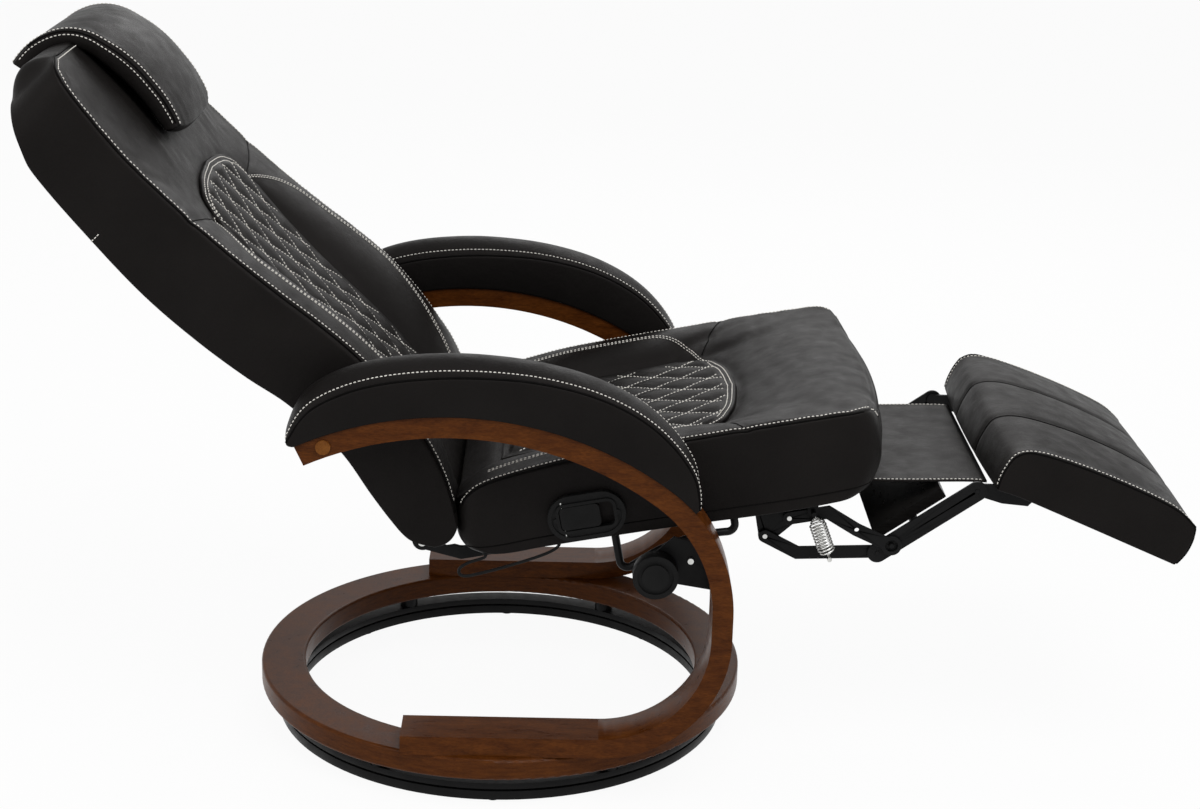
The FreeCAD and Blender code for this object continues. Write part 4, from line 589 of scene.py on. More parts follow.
class Cushion:
    """A padded skin with its stitches and its welt cords, whose darker leather is painted shade of the seams'
    grooves.

    place maps shares s along, t across and w up a box to a point. sewn names the sewing.
    """

    def __init__(self, name, sewn, sizes, steps, place, closer=(NEAR_SEAM, NEAR_SEAM, FINE)):
        self.place = place
        self.shares = [stations(*row) for row in zip(sizes, steps, closer)]
        self.last = [len(shares) - 1 for shares in self.shares]
        self.index = {}
        verts = []
        faces = []

        def vert(key):
            if key not in self.index:
                self.index[key] = len(verts)
                verts.append(place(*self.shares_at(key)))
            return self.index[key]

        for flat in range(3):
            first, second = [axis for axis in range(3) if axis != flat]
            for level in (0, self.last[flat]):
                for i, j in product(range(self.last[first]), range(self.last[second])):
                    quad = []
                    for di, dj in ((0, 0), (1, 0), (1, 1), (0, 1)):
                        corner = [level] * 3
                        corner[first], corner[second] = i + di, j + dj
                        quad.append(vert(tuple(corner)))
                    faces.append(quad)
        self.obj = new_object(name, verts, faces, LEATHER)
        self.stitches = Tubes(sewn.format("stitching"), THREAD)
        # The welt cords carry painted shade: their leather is darker than the skin's.
        self.welts_painted_shade = Tubes(sewn.format("welts_painted_shade"), WELT_PAINTED_SHADE)

    def shares_at(self, key):
        return [shares[i] for shares, i in zip(self.shares, key)]

    def seam_verts(self):
        """The verts on the edges of the box, where the panels are sewn."""
        return [vert for key, vert in self.index.items()
                if sum(place in (0, last) for place, last in zip(key, self.last)) > 1]

    def verts_where(self, test):
        """The verts whose shares pass a test."""
        return [vert for key, vert in self.index.items() if test(*self.shares_at(key))]

    def inflate(self, held, cap):
        """Blow the skin up between its held verts, and keep each vert within cap of its start."""
        mesh = self.obj.data
        start = [v.co.copy() for v in mesh.vertices]
        group = self.obj.vertex_groups.new(name="held")
        group.add(held, 1.0, "REPLACE")
        modifier = modify(self.obj, "CLOTH")
        set_all(modifier.settings, CLOTH)
        modifier.settings.effector_weights.gravity = 0
        modifier.collision_settings.use_collision = False
        for step in range(1, BLOW_FRAMES + 1):
            scene.frame_set(step)
        blown = self.obj.evaluated_get(bpy.context.evaluated_depsgraph_get()).to_mesh()
        ends = [v.co.copy() for v in blown.vertices]
        self.obj.modifiers.remove(modifier)
        self.obj.vertex_groups.remove(group)
        for vert, first, last in zip(mesh.vertices, start, ends):
            way = last - first
            if way.length > TINY:
                way *= cap * MM * math.tanh(way.length / (cap * MM)) / way.length
            vert.co = first + way
        mesh.update()
        scene.frame_set(1)

    def dent(self, depth):
        """Move every vert along its normal by what depth gives for its shares."""
        mesh = self.obj.data
        mesh.update()
        normals = [v.normal.copy() for v in mesh.vertices]
        for key, vert in self.index.items():
            mesh.vertices[vert].co += normals[vert] * depth(*self.shares_at(key)) * MM
        mesh.update()

    def soften(self, test, rounds):
        """Round off the verts whose shares pass a test."""
        work = bmesh.new()
        work.from_mesh(self.obj.data)
        work.verts.ensure_lookup_table()
        chosen = [work.verts[i] for i in self.verts_where(test)]
        for _ in range(rounds):
            bmesh.ops.smooth_vert(work, verts=chosen, factor=0.5,
                                  use_axis_x=True, use_axis_y=True, use_axis_z=True)
        work.to_mesh(self.obj.data)
        work.free()
        self.obj.data.update()

    def upholster(self, body, node):
        """Smooth the skin, and give it to its body as the node's leather."""
        modify(self.obj, "SUBSURF", levels=1, render_levels=1)
        put_on(self.obj, body, node)
        self.body = body
        self.surface = surface_of(self.obj)

    def run(self, t, w, first=0.0, last=1.0, count=80):
        """A line along the cushion."""
        return line_of(lambda s: self.place(s, t, w), first, last, count)

    def stitch(self, line):
        self.stitches.row(line, self.surface)

    def welt(self, line, radius=WELT_RADIUS):
        self.welts_painted_shade.welt(line, self.surface, radius)

    def finish_sewing(self):
        return [self.stitches.finish(self.body), self.welts_painted_shade.finish(self.body)]


def on_base(s, t, w):
    return w == 0


def corner_half(place, low, high, half, corner):
    """The half width of a panel with rounded corners at both ends."""
    over = max(place - (high - corner), (low + corner) - place, 0.0)
    over = min(over, corner)
    return half - corner + math.sqrt(corner ** 2 - over ** 2)


BORDER_STEPS = 80


def panel_border(low, high, half, corner, inset):
    """A panel's edge drawn in by an inset: up one side, across the high end and down again."""
    side = line_of(lambda place: place, low, high - inset, BORDER_STEPS)

    def half_at(place):
        return corner_half(place, low - corner, high - inset, half - inset, corner)

    border = [(place, -half_at(place)) for place in side]
    end = half_at(side[-1])
    border += [(side[-1], -end + 2 * end * i / BORDER_STEPS) for i in range(1, BORDER_STEPS)]
    return border + [(place, half_at(place)) for place in side[::-1]]


# Bolstered fronts with quilted panels: the back and the seat.

SEWN_LIFT = 3
QUILT_OVERLAP = 4
BOLSTER_ROWS = (0, 5.5)
SHOULDER_WELT = 1.0
FAR = 1e3


@dataclass
class Bolsters:
    """The front of a cushion: a quilted hollow with a round end, between two side bolsters."""

    low: float
    high: float
    seam: float
    crest: float
    hollow: object
    edge: object
    crest_rise: object
    quilt_low: int
    quilt_high: int
    quilt_half: object
    shoulder: tuple
    shoulder_end: tuple
    to_point: object

    def __post_init__(self):
        self.widest = self.quilt_half(self.quilt_high)
        drops = ((0, 0), (0.45, 6), (0.68, 15), (0.88, 32), (1, 74))
        self.arch = smooth([(self.widest * share, drop) for share, drop in drops])

    def spot(self, s, t):
        return self.low + (self.high - self.low) * s, (2 * t - 1) * self.seam

    def height(self, along, y):
        """The height at a place: flat hollow, rising bolster, crest and edge."""
        y = abs(y)
        hollow, edge, half = self.hollow(along), self.edge(along), self.quilt_half(along)
        if y <= half:
            return hollow
        crest = edge + self.crest_rise(along)
        if y <= self.crest:
            reach = (y - half) / (self.crest - half)
            return hollow + (crest - hollow) * (1 - (1 - reach) ** 2)
        reach = (y - self.crest) / (self.seam - self.crest)
        return crest + (edge - crest) * reach ** 2

    def sewn_point(self, along, y):
        return self.to_point(along, self.height(along, y) + SEWN_LIFT, y)

    def inside(self, along, y):
        """How far inside the quilted panel's outline a place lies; negative outside."""
        return min(self.quilt_half(along) - abs(y), along - self.quilt_low,
                   self.quilt_high - self.arch(abs(y)) - along)

    def under_quilt(self, s, t, w):
        return w == 1 and self.inside(*self.spot(s, t)) > -QUILT_OVERLAP

    def shoulder_spot(self, share):
        """A place on the seam from the quilted panel's shoulder out to the side edge."""
        (low, inner), (high, outer) = self.shoulder, self.shoulder_end
        return low + (high - low) * share, inner + (outer - inner) * share

    def shoulder_distance(self, along, y):
        inner, outer = self.shoulder[1], self.shoulder_end[1]
        share = (abs(y) - inner) / (outer - inner)
        return FAR if share < 0 else abs(along - self.shoulder_spot(share)[0])

    def dent(self, along, y, from_edge):
        """Valleys round the quilted panel, along the shoulder seams and at the stitched edge."""
        dent = -3.0 * bump_at(self.inside(along, y), 7)
        dent -= 3.0 * bump_at(self.shoulder_distance(along, y), 6)
        return dent + seam_pucker(from_edge)

    def row_y(self, along, turn_at, tuck):
        """The place across of a bolster's row, which turns in to the quilted panel's shoulder."""
        turn = max(0.0, (along - turn_at) / (self.shoulder[0] - turn_at))
        return self.crest - (self.crest - self.shoulder[1] + tuck) * turn ** 2

    def sew(self, cushion, row_y, first, last):
        """Two rows of stitches along each bolster, and the seams at the shoulders."""
        for _, side in SIDES:
            for inset in BOLSTER_ROWS:
                def bolster_point(along):
                    return self.sewn_point(along, side * (row_y(along) - inset))

                cushion.stitch(line_of(bolster_point, first, last))

            def shoulder_point(share):
                along, y = self.shoulder_spot(share)
                return self.sewn_point(along, side * y)

            cushion.welt(line_of(shoulder_point, 0.02, 0.98, 24), SHOULDER_WELT)


DIAMOND_WIDTH, DIAMOND_LENGTH = 50, 76
PUFF, PUFF_FULLNESS = 5.6, 0.6
PANEL_LIFT = 2.5
PANEL_STEP = 3.2
PANEL_BASE = 5
PANEL_BORDER = 13
BORDER_PUFF = 1.2
OUTLINE_ROWS = (3.5, 9.5)
OUTLINE_END = 0.94
LINE_STEP = 4


def quilt_puff(along, y, inside):
    """The height of the padding between the crossing lines and the border."""
    first = math.sin(math.pi * (along / DIAMOND_LENGTH + y / DIAMOND_WIDTH))
    second = math.sin(math.pi * (along / DIAMOND_LENGTH - y / DIAMOND_WIDTH))
    fade = min(max((inside - PANEL_BORDER + 4) / 9, 0.0), 1.0)
    rows = sum(BORDER_PUFF * bump_at(inside - row, 2.2) for row in OUTLINE_ROWS)
    diamonds = PUFF * (abs(first) * abs(second)) ** PUFF_FULLNESS
    return diamonds * fade + BORDER_PUFF * (1 - fade) - rows


class QuiltPanel:
    """A panel of puffed diamonds with one square and one round end, on a bolstered front."""

    def __init__(self, name, front):
        self.front = front
        low, high, widest = front.quilt_low, front.quilt_high, front.widest
        rows = round((high - low) / PANEL_STEP)
        columns = round(2 * widest / PANEL_STEP)
        verts = []
        for i in range(rows + 1):
            for j in range(columns + 1):
                t = 2 * j / columns - 1
                along = low + (high - front.arch(abs(t) * widest) - low) * i / rows
                y = t * front.quilt_half(along)
                inside = max(front.inside(along, y), 0.0)
                verts.append(self.point(along, y, quilt_puff(along, y, inside)))
        self.obj = new_object(name, verts, grid_faces(rows, columns), LEATHER)
        turn_faces(self.obj, front.to_point(0, 1, 0) - front.to_point(0, 0, 0))
        modify(self.obj, "SOLIDIFY", thickness=PANEL_BASE * MM, offset=-1)

    def point(self, along, y, lift=0.0):
        return self.front.to_point(along, self.front.hollow(along) + PANEL_LIFT + lift, y)

    def outline(self, inset):
        """The edge of the panel's round end, drawn in by a distance."""
        front = self.front

        def edge_point(t):
            along = front.quilt_high - front.arch(abs(t) * front.widest) - inset
            return self.point(along, t * (front.widest - inset))

        return line_of(edge_point, -OUTLINE_END, OUTLINE_END, 120)

    def diamond_lines(self):
        """The crossing lines, each cut to the inside of the border."""
        low, high = self.front.quilt_low, self.front.quilt_high
        slope = DIAMOND_WIDTH / DIAMOND_LENGTH
        reach = int((high - low + 2 * self.front.widest / slope) / DIAMOND_LENGTH) + 3
        lines = []
        for lean in (-1, 1):
            for number in range(-reach, reach + 1):
                run = []
                for along in range(low, high, LINE_STEP):
                    y = lean * (number * DIAMOND_WIDTH - along * slope)
                    if self.front.inside(along, y) > PANEL_BORDER - 3:
                        run.append(self.point(along, y))
                if len(run) > 4:
                    lines.append(run)
        return lines

    def sew_to(self, cushion, node):
        """Give the panel to the cushion's body, and sew it with the cushion's thread."""
        put_on(self.obj, cushion.body, node)
        surface = surface_of(self.obj)
        for line in [self.outline(inset) for inset in OUTLINE_ROWS] + self.diamond_lines():
            cushion.stitches.row(line, surface)


# Back cushion: side bolsters round a hollow middle, with a smooth head end.

BACK_LOW, BACK_HIGH = -203, 541
BACK_SEAM, BACK_CORNER, BACK_DEPTH = 243, 42, 100
BACK_SIDE_BULGE, BACK_TOP_BULGE, BACK_LOW_BULGE = 4, 18, 7
BACK_REAR_CROWN = 8
BACK_ROWS_TURN, BACK_ROWS_TUCK = 190, 4
BACK_ROWS_FIRST, BACK_ROWS_LAST = -110, 270
BACK_ROWS_DRAWN, BACK_ROWS_DRAW = 60, 30
BACK_ROW_LOW, BACK_WELT_LOW = -178, -190
REAR_MARK = ((360, -22, -250), (360, -42, -238))
back_rear = smooth([
    (-203, -22), (-178, -37), (-157, -38), (-101, -29), (-32, -15), (55, -17), (113, -28),
    (185, -37), (267, -41), (355, -36), (469, -23), (498, -10), (516, -1), (541, 14),
])
back_front = Bolsters(
    low=BACK_LOW, high=BACK_HIGH, seam=BACK_SEAM, crest=202,
    hollow=smooth([
        (-203, 13), (-164, 28), (-125, 41), (-80, 48), (-20, 53), (40, 54), (130, 51), (200, 52),
        (282, 60), (322, 68), (380, 79), (450, 85), (520, 89), (541, 90),
    ]),
    edge=smooth([
        (-203, 19), (-176, 37), (-147, 52), (-105, 67), (-60, 76), (-20, 82), (40, 86), (100, 82),
        (158, 75), (232, 69), (323, 66), (407, 66.5), (471, 74), (501, 79), (522, 82.5), (541, 86),
    ]),
    crest_rise=smooth([(-180, 0), (-100, 7), (0, 10), (160, 9), (240, 4), (300, 0)]),
    quilt_low=-100, quilt_high=322,
    quilt_half=smooth([(-100, 104), (60, 106), (140, 118), (220, 130), (322, 138)]),
    shoulder=(268, 136), shoulder_end=(296, 243), to_point=back_point)


def back_place(s, t, w):
    up = BACK_LOW + (BACK_HIGH - BACK_LOW) * s
    across = 2 * t - 1
    y = across * corner_half(up, BACK_LOW - BACK_CORNER, BACK_HIGH, BACK_SEAM, BACK_CORNER)
    front = back_front.height(up, y)
    rear = back_rear(up) - BACK_REAR_CROWN * (1 - across ** 2) * math.sin(math.pi * s)
    y = side_bulge(y, t, w, BACK_SIDE_BULGE)
    up = end_bulge(up, s, w, BACK_LOW_BULGE, BACK_TOP_BULGE)
    return back_point(up, rear + (front - rear) * w, y)


def back_dent(s, t, w):
    if w < 1:
        return 0.0
    up, y = back_front.spot(s, t)
    from_edge = BACK_SEAM - abs(y)
    wave = up * 0.42 + 2.1 * math.sin(up * 0.093)
    return back_front.dent(up, y, from_edge) + edge_ripple(wave, from_edge)


def back_row(up):
    """The place across of a bolster's row, which is drawn in towards the seat."""
    draw = max(0.0, (BACK_ROWS_DRAWN - up) / 150) ** 1.5
    return back_front.row_y(up, BACK_ROWS_TURN, BACK_ROWS_TUCK) - BACK_ROWS_DRAW * draw


def back_hem(low, inset):
    """A line along the edge of the back's front."""
    border = panel_border(low, BACK_HIGH, BACK_SEAM, BACK_CORNER, inset)
    return [back_front.sewn_point(up, y) for up, y in border]


back = Cushion("back_cushion_skin", "back_{}", (BACK_HIGH - BACK_LOW, 2 * BACK_SEAM, BACK_DEPTH),
               (SKIN_STEP, SKIN_STEP, 12), back_place)
back.inflate(back.seam_verts() + back.verts_where(back_front.under_quilt), cap=9)
back.dent(back_dent)
back.upholster("back", "back_cushion")
back_quilt = QuiltPanel("back_quilted_panel", back_front)
back_quilt.sew_to(back, "back_quilt_panel")
back.stitch(back_hem(BACK_ROW_LOW, SEAM_ROW))
back.welt(back_hem(BACK_WELT_LOW, WELT_ROW))
back_front.sew(back, back_row, BACK_ROWS_FIRST, BACK_ROWS_LAST)
back.stitch([back_point(*spot) for spot in REAR_MARK])
back.finish_sewing()

# Seat cushion: a hollow middle between bolsters, a rounded front and a heel that meets the back.

SEAT_LOW, SEAT_HIGH = -35, 497
SEAT_SEAM, SEAT_CORNER_ROUND, SEAT_DEPTH = 243, 30, 110
SEAT_FRONT_BOW = 16
SEAT_SIDE_BULGE = 4
SEAT_ROWS_TURN, SEAT_ROWS_TUCK = 225, 8
SEAT_ROWS_FIRST, SEAT_ROWS_LAST = 8, 308
SEAT_FRONT_ROW = 0.84
SEAT_LOW_SEAM = 0.14
SEAT_LOW_WELT = 0.9
seat_under = smooth([(-35, -1), (10, -6), (60, -5), (150, -5), (250, -6), (400, -9), (497, -6)])
seat_rear_line = smooth([(0, -24), (0.1, -35), (0.35, -41.5), (0.6, -39.5), (1, -35)])
seat_front_line = smooth([(0, 466), (0.1, 484), (0.35, 499), (0.6, 503), (0.85, 502), (1, 497)])
seat_top = Bolsters(
    low=SEAT_LOW, high=SEAT_HIGH, seam=SEAT_SEAM, crest=208,
    hollow=smooth([
        (-35, 58), (15, 76), (72, 81), (160, 80), (250, 80), (300, 82), (337, 86), (380, 95),
        (425, 104), (456, 107), (475, 105), (488, 98), (497, 86),
    ]),
    edge=smooth([
        (-35, 66), (-24, 76), (-3, 87), (15, 92), (60, 98), (120, 103), (268, 105), (338, 106),
        (415, 106), (470, 106), (488, 104), (497, 99),
    ]),
    crest_rise=smooth([(-35, 0), (40, 3), (120, 5), (250, 5), (310, 1), (360, 0)]),
    quilt_low=22, quilt_high=337,
    quilt_half=smooth([(22, 130), (120, 138), (250, 150), (337, 154)]),
    shoulder=(300, 154), shoulder_end=(338, 243), to_point=seat_point)


def seat_place(s, t, w):
    top_along = SEAT_LOW + (SEAT_HIGH - SEAT_LOW) * s
    across = 2 * t - 1
    y = across * corner_half(top_along, SEAT_LOW, SEAT_HIGH, SEAT_SEAM, SEAT_CORNER_ROUND)
    under = seat_under(top_along)
    height = under + (seat_top.height(top_along, y) - under) * w
    along = seat_rear_line(w) + (seat_front_line(w) - seat_rear_line(w)) * s
    along += SEAT_FRONT_BOW * (1 - across ** 2) * s ** 4
    return seat_point(along, height, side_bulge(y, t, w, SEAT_SIDE_BULGE))


def seat_dent(s, t, w):
    if w < 1:
        return 0.0
    along, y = seat_top.spot(s, t)
    from_edge = min(SEAT_SEAM - abs(y), SEAT_HIGH - along)
    front = max(0.0, (along - seat_top.quilt_high) / (SEAT_HIGH - seat_top.quilt_high))
    creases = 1.6 * math.sin(along * 0.19 + 0.013 * y + 1.4 * math.sin(y * 0.021))
    dent = seat_top.dent(along, y, from_edge) + creases * front * (1 - front)
    return dent + edge_ripple(along * 0.45 + y * 0.4, from_edge)


def seat_front_edge(s, t, w):
    """Whether the shares of a vert put it on the rounded front edge."""
    return 0.03 < t < 0.97 and ((w == 1 and s > 0.93) or (s == 1 and w > 0.7))


def seat_sewn(border):
    """Points on the seat's top for a border, with the bow of its front edge."""
    line = []
    for along, y in border:
        share = (along - SEAT_LOW) / (SEAT_HIGH - SEAT_LOW)
        bow = SEAT_FRONT_BOW * (1 - (y / SEAT_SEAM) ** 2) * max(share, 0) ** 4
        line.append(seat_point(along + bow, seat_top.height(along, y), y))
    return line


def seat_hem(inset):
    """A line along both side edges of the seat's top and across its front face."""
    border = panel_border(SEAT_LOW + 2, SEAT_HIGH, SEAT_SEAM, SEAT_CORNER_ROUND, inset)
    sides = [spot for spot in border if spot[0] < SEAT_HIGH - 12]
    half = len(sides) // 2
    front = line_of(lambda t: seat_place(1, t, SEAT_FRONT_ROW), 0.03, 0.97, 80)
    return seat_sewn(sides[:half]) + front + seat_sewn(sides[half:])


def seat_row(along):
    return seat_top.row_y(along, SEAT_ROWS_TURN, SEAT_ROWS_TUCK)


seat = Cushion("seat_cushion_skin", "seat_{}", (SEAT_HIGH - SEAT_LOW, 2 * SEAT_SEAM, SEAT_DEPTH),
               (SKIN_STEP, SKIN_STEP, 11), seat_place)
held = seat.seam_verts() + seat.verts_where(on_base) + seat.verts_where(seat_top.under_quilt)
seat.inflate(held, cap=8)
seat.soften(seat_front_edge, 10)
seat.dent(seat_dent)
seat.upholster("seat", "seat_cushion")
seat_quilt = QuiltPanel("seat_quilted_panel", seat_top)
seat_quilt.sew_to(seat, "seat_quilt_panel")
seat.stitch(seat_hem(SEAM_ROW))
seat.welt(seat_hem(WELT_ROW))
seat_top.sew(seat, seat_row, SEAT_ROWS_FIRST, SEAT_ROWS_LAST)
for edge in (0, 1):
    seat.welt(seat.run(edge, SEAT_LOW_SEAM), SEAT_LOW_WELT)
seat_soft = [seat.obj, seat_quilt.obj, *seat.finish_sewing()]
seat_way = seat_point(1, 0, 0) - seat_point(0, 0, 0)
for piece in seat_soft:
    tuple(seat_point(SEAT_HIGH, 0, 0))
    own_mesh(piece)

# Footrest: three channels between seams marked by dark welt cords of painted shade, with stitched ends.

FOOT_LOW, FOOT_HIGH = 8, 262
FOOT_SEAM, FOOT_DEPTH = 211, 70
FOOT_CHANNEL = 74
FOOT_CROWN = 9
FOOT_REAR_BOW = 9
FOOT_SIDE_BULGE, FOOT_REAR_BULGE, FOOT_FRONT_BULGE = 2, 3, 6
FOOT_CHANNEL_WELT = 0.9
foot_edge_top = smooth([
    (8, 53), (19, 65), (40, 70), (65, 73), (117, 76), (188, 76), (235, 72), (262, 62),
])
foot_under = smooth([(8, 4), (25, 6), (45, 7), (262, 5)])


def foot_place(s, t, w):
    across = 2 * t - 1
    along = FOOT_LOW + (FOOT_HIGH - FOOT_LOW) * s
    under = foot_under(along)
    crown = FOOT_CROWN * (1 - across ** 2) * math.sin(math.pi * min(1.0, 0.12 + 0.8 * s))
    height = under + (foot_edge_top(along) + crown - under) * w
    along = end_bulge(along, s, w, FOOT_REAR_BULGE, FOOT_FRONT_BULGE)
    along -= FOOT_REAR_BOW * (1 - across ** 2) * (1 - s) ** 3
    return foot_point(along, height, side_bulge(across * FOOT_SEAM, t, w, FOOT_SIDE_BULGE))


def foot_channel(t):
    """Distance to the nearest lengthwise seam."""
    return abs(abs(2 * t - 1) * FOOT_SEAM - FOOT_CHANNEL)


def foot_dent(s, t, w):
    if w == 0 or t in (0, 1):
        return 0.0
    from_edge = FOOT_SEAM * (1 - abs(2 * t - 1))
    dent = -2.6 * bump_at(foot_channel(t), 5)
    if w == 1:
        dent += seam_pucker(from_edge) + edge_ripple(s * 100, from_edge, 0.3, 12)
    return dent


def foot_held(s, t, w):
    """Whether a vert is on the board or on a side panel's edge."""
    return w == 0 or (t in (0, 1) and (s in (0, 1) or w == 1))


def foot_seam(s, t, w):
    return (w == 1 or s in (0, 1)) and foot_channel(t) < 3.5


def foot_round(s, t, w):
    """Whether a vert is on one of the rounded ends."""
    return 0 < t < 1 and ((w == 1 and (s < 0.14 or s > 0.9)) or (s in (0, 1) and w > 0.45))


def foot_wrap(across, low_rise):
    """A line round the footrest: up its rear end, along its top and down its front end."""
    t = 0.5 + across / 2
    line = line_of(lambda w: foot_place(0, t, w), low_rise, 1, 20)
    line += foot.run(t, 1, count=60)
    return line + line_of(lambda w: foot_place(1, t, w), 1, low_rise, 20)


foot = Cushion("footrest_cushion_skin", "footrest_{}",
               (FOOT_HIGH - FOOT_LOW, 2 * FOOT_SEAM, FOOT_DEPTH), (7, 6, 9), foot_place)
foot.inflate(foot.verts_where(foot_held) + foot.verts_where(foot_seam), cap=7)
foot.soften(foot_round, 14)
foot.dent(foot_dent)
foot.upholster("footrest", "footrest_cushion")
for _, side in SIDES:
    foot.stitch(foot_wrap(side * (1 - SEAM_ROW / FOOT_SEAM), 0.1))
    foot.welt(foot_wrap(side * 0.998, 0.05))
    foot.welt(foot_wrap(side * FOOT_CHANNEL / FOOT_SEAM, 0.05), FOOT_CHANNEL_WELT)
foot.finish_sewing()

# Arm pads: each lies along the arm, rounds down at its rear end and runs out down the front bend.

PAD_HALF = 33
PAD_REAR, PAD_SHOULDER, PAD_TIP = -24.9, 36.9, 48.2
PAD_ARM_SHARE = 0.9
PAD_GAP = 0.6
PAD_LENGTH = 540
PAD_RISE = 56
PAD_REAR_BULGE, PAD_SIDE_BULGE = 14, 1.5
pad_seam_height = smooth([
    (-25, 8), (-24, 17), (-22.3, 28), (-20, 37), (-15.5, 44), (-11.3, 47), (-3.3, 49), (4.6, 52),
    (12.5, 57), (20.7, 60), (27.5, 57), (32.9, 48), (37.9, 33), (40.7, 18), (42.2, 6),
])
pad_crown = smooth([
    (-25, 8), (-22, 16), (-15, 21), (0, 20), (12, 15), (25, 10), (36, 5), (42.2, 1),
])


def pad_base(s):
    """A point on the arm under the pad, from its rear end to its front tip."""
    if s < PAD_ARM_SHARE:
        angle = PAD_REAR + (PAD_SHOULDER - PAD_REAR) * s / PAD_ARM_SHARE
        return Vector(polar(ARM_CENTRE, ARM_RADIUS + PAD_GAP, angle))
    share = (s - PAD_ARM_SHARE) / (1 - PAD_ARM_SHARE)
    angle = PAD_SHOULDER + (PAD_TIP - PAD_SHOULDER) * share
    return Vector(polar(BEND_CENTRE, BEND_RADIUS + PAD_GAP, angle))


def pad_place_at(side):
    def place(s, t, w):
        base = pad_base(s)
        out = (base - Vector(ARM_CENTRE)).normalized()
        angle = math.degrees(math.atan2(out.x, out.y))
        across = 2 * t - 1
        crown = pad_crown(angle) * (1 - across ** 2) * w ** 4
        at = base + out * (pad_seam_height(angle) * w + crown)
        at += Vector((-out.y, out.x)) * PAD_REAR_BULGE * (1 - s) ** 40 * w * (1.4 - w)
        y = side_bulge(across * PAD_HALF, t, w, PAD_SIDE_BULGE)
        return Vector((at.x, side * FRAME_Y + y, at.y)) * MM

    return place


def pad_dent(s, t, w):
    if w < 1:
        return 0.0
    from_edge = PAD_HALF * (1 - abs(2 * t - 1))
    return 0.8 * bump_at(from_edge - 7, 4) - 1.8 * bump_at(from_edge, 2.2)


for side_name, side in SIDES:
    pad = Cushion(f"arm_pad_{side_name}_skin", f"arm_{{}}_{side_name}",
                  (PAD_LENGTH, 2 * PAD_HALF, PAD_RISE), (7, 7, 8), pad_place_at(side),
                  (NEAR_SEAM, FINE, FINE))
    pad.inflate(pad.seam_verts() + pad.verts_where(on_base), cap=4)
    pad.dent(pad_dent)
    pad.upholster("turntable", f"arm_pad_{side_name}")
    for edge in (0, 1):
        pad.stitch(pad.run(abs(edge - SEAM_ROW / 2 / PAD_HALF), 1, count=120))
        pad.welt(pad.run(edge, 1, count=120))
    pad.finish_sewing()

# Headrest pillow: hangs over the top of the back, full in the middle and thin at its ends.

PILLOW_HALF = 112
PILLOW_LENGTH, PILLOW_DEPTH = 330, 30
PILLOW_SWELL, PILLOW_SAG = 17, 14
PILLOW_LIFTED_CORNER = 12
PILLOW_SIDE_BULGE, PILLOW_LOW_BULGE = 2.5, 4
PILLOW_GUSSET_ROW = 0.76
PILLOW_WELT = 1.8
pillow_shares = (0, 0.07, 0.14, 0.22, 0.31, 0.41, 0.51, 0.60, 0.69, 0.77, 0.84, 0.90, 0.95, 1)


def pillow_curve(*values):
    return smooth(list(zip(pillow_shares, values)))


pillow_up = pillow_curve(371, 384, 399, 416, 438.7, 464.5, 489.5, 511, 532, 549, 563, 573, 577, 575)
pillow_front = pillow_curve(107, 111, 115, 119, 122, 124, 122.5, 118, 112, 102, 87, 66, 43, 18)
pillow_under_up = pillow_curve(377, 388, 402, 416, 439, 461, 483, 504, 520, 534, 544, 551, 556, 557)
pillow_under = pillow_curve(90, 92, 94, 97, 100, 101, 100, 98, 95, 88, 76, 60, 42, 22)


def pillow_place(s, t, w):
    across = abs(2 * t - 1)
    full = (1 - across ** 2.5) * math.sin(math.pi * min(1.0, 0.05 + s)) ** 0.7
    front = pillow_front(s) + PILLOW_SWELL * full
    under = max(pillow_under(s) - PILLOW_SAG * full, 0)
    up = pillow_under_up(s) + (pillow_up(s) - pillow_under_up(s)) * w
    up += PILLOW_LIFTED_CORNER * across ** 4 * (1 - s) ** 8
    up = end_bulge(up, s, w, PILLOW_LOW_BULGE, 0)
    y = side_bulge((2 * t - 1) * PILLOW_HALF, t, w, PILLOW_SIDE_BULGE)
    return back_point(up, under + (front - under) * w, y)


def pillow_dent(s, t, w):
    if w < 1:
        return 0.0
    from_edge = PILLOW_HALF * (1 - abs(2 * t - 1))
    folds = 0.9 * math.sin(from_edge * 0.34 + 2 * s) * bump_at(from_edge - 26, 24)
    return seam_pucker(from_edge) + folds * (1 - s) ** 3


pillow = Cushion("headrest_pillow_skin", "pillow_{}",
                 (PILLOW_LENGTH, 2 * PILLOW_HALF, PILLOW_DEPTH), (7, 7, 7), pillow_place,
                 (NEAR_SEAM, NEAR_SEAM, (0, 3, 6)))
pillow.inflate(pillow.seam_verts() + pillow.verts_where(on_base), cap=8)
pillow.dent(pillow_dent)
pillow.upholster("back", "headrest_pillow")
for edge in (0, 1):
    pillow.stitch(pillow.run(abs(edge - SEAM_ROW / 2 / PILLOW_HALF), 1))
    pillow.stitch(pillow.run(edge, PILLOW_GUSSET_ROW, 0.03, 0.98))
    pillow.welt(pillow.run(edge, 1, 0.02, 0.94), PILLOW_WELT)
pillow.finish_sewing()

# Leg flap: a stitched leather strip from the seat's underside to the footrest.

FLAP_HALF = 156
FLAP_THICKNESS = 2.4
FLAP_START, FLAP_END = 428, 626
FLAP_STEP = 6
FLAP_SAG = 2
FLAP_ROW, FLAP_ROW_END = 3, 4
MEASURE_STEP = 2
flap_height = smooth([
    (428, 396), (452, 392.5), (476, 391), (520, 391), (560, 392), (600, 393), (626, 392.5),
])


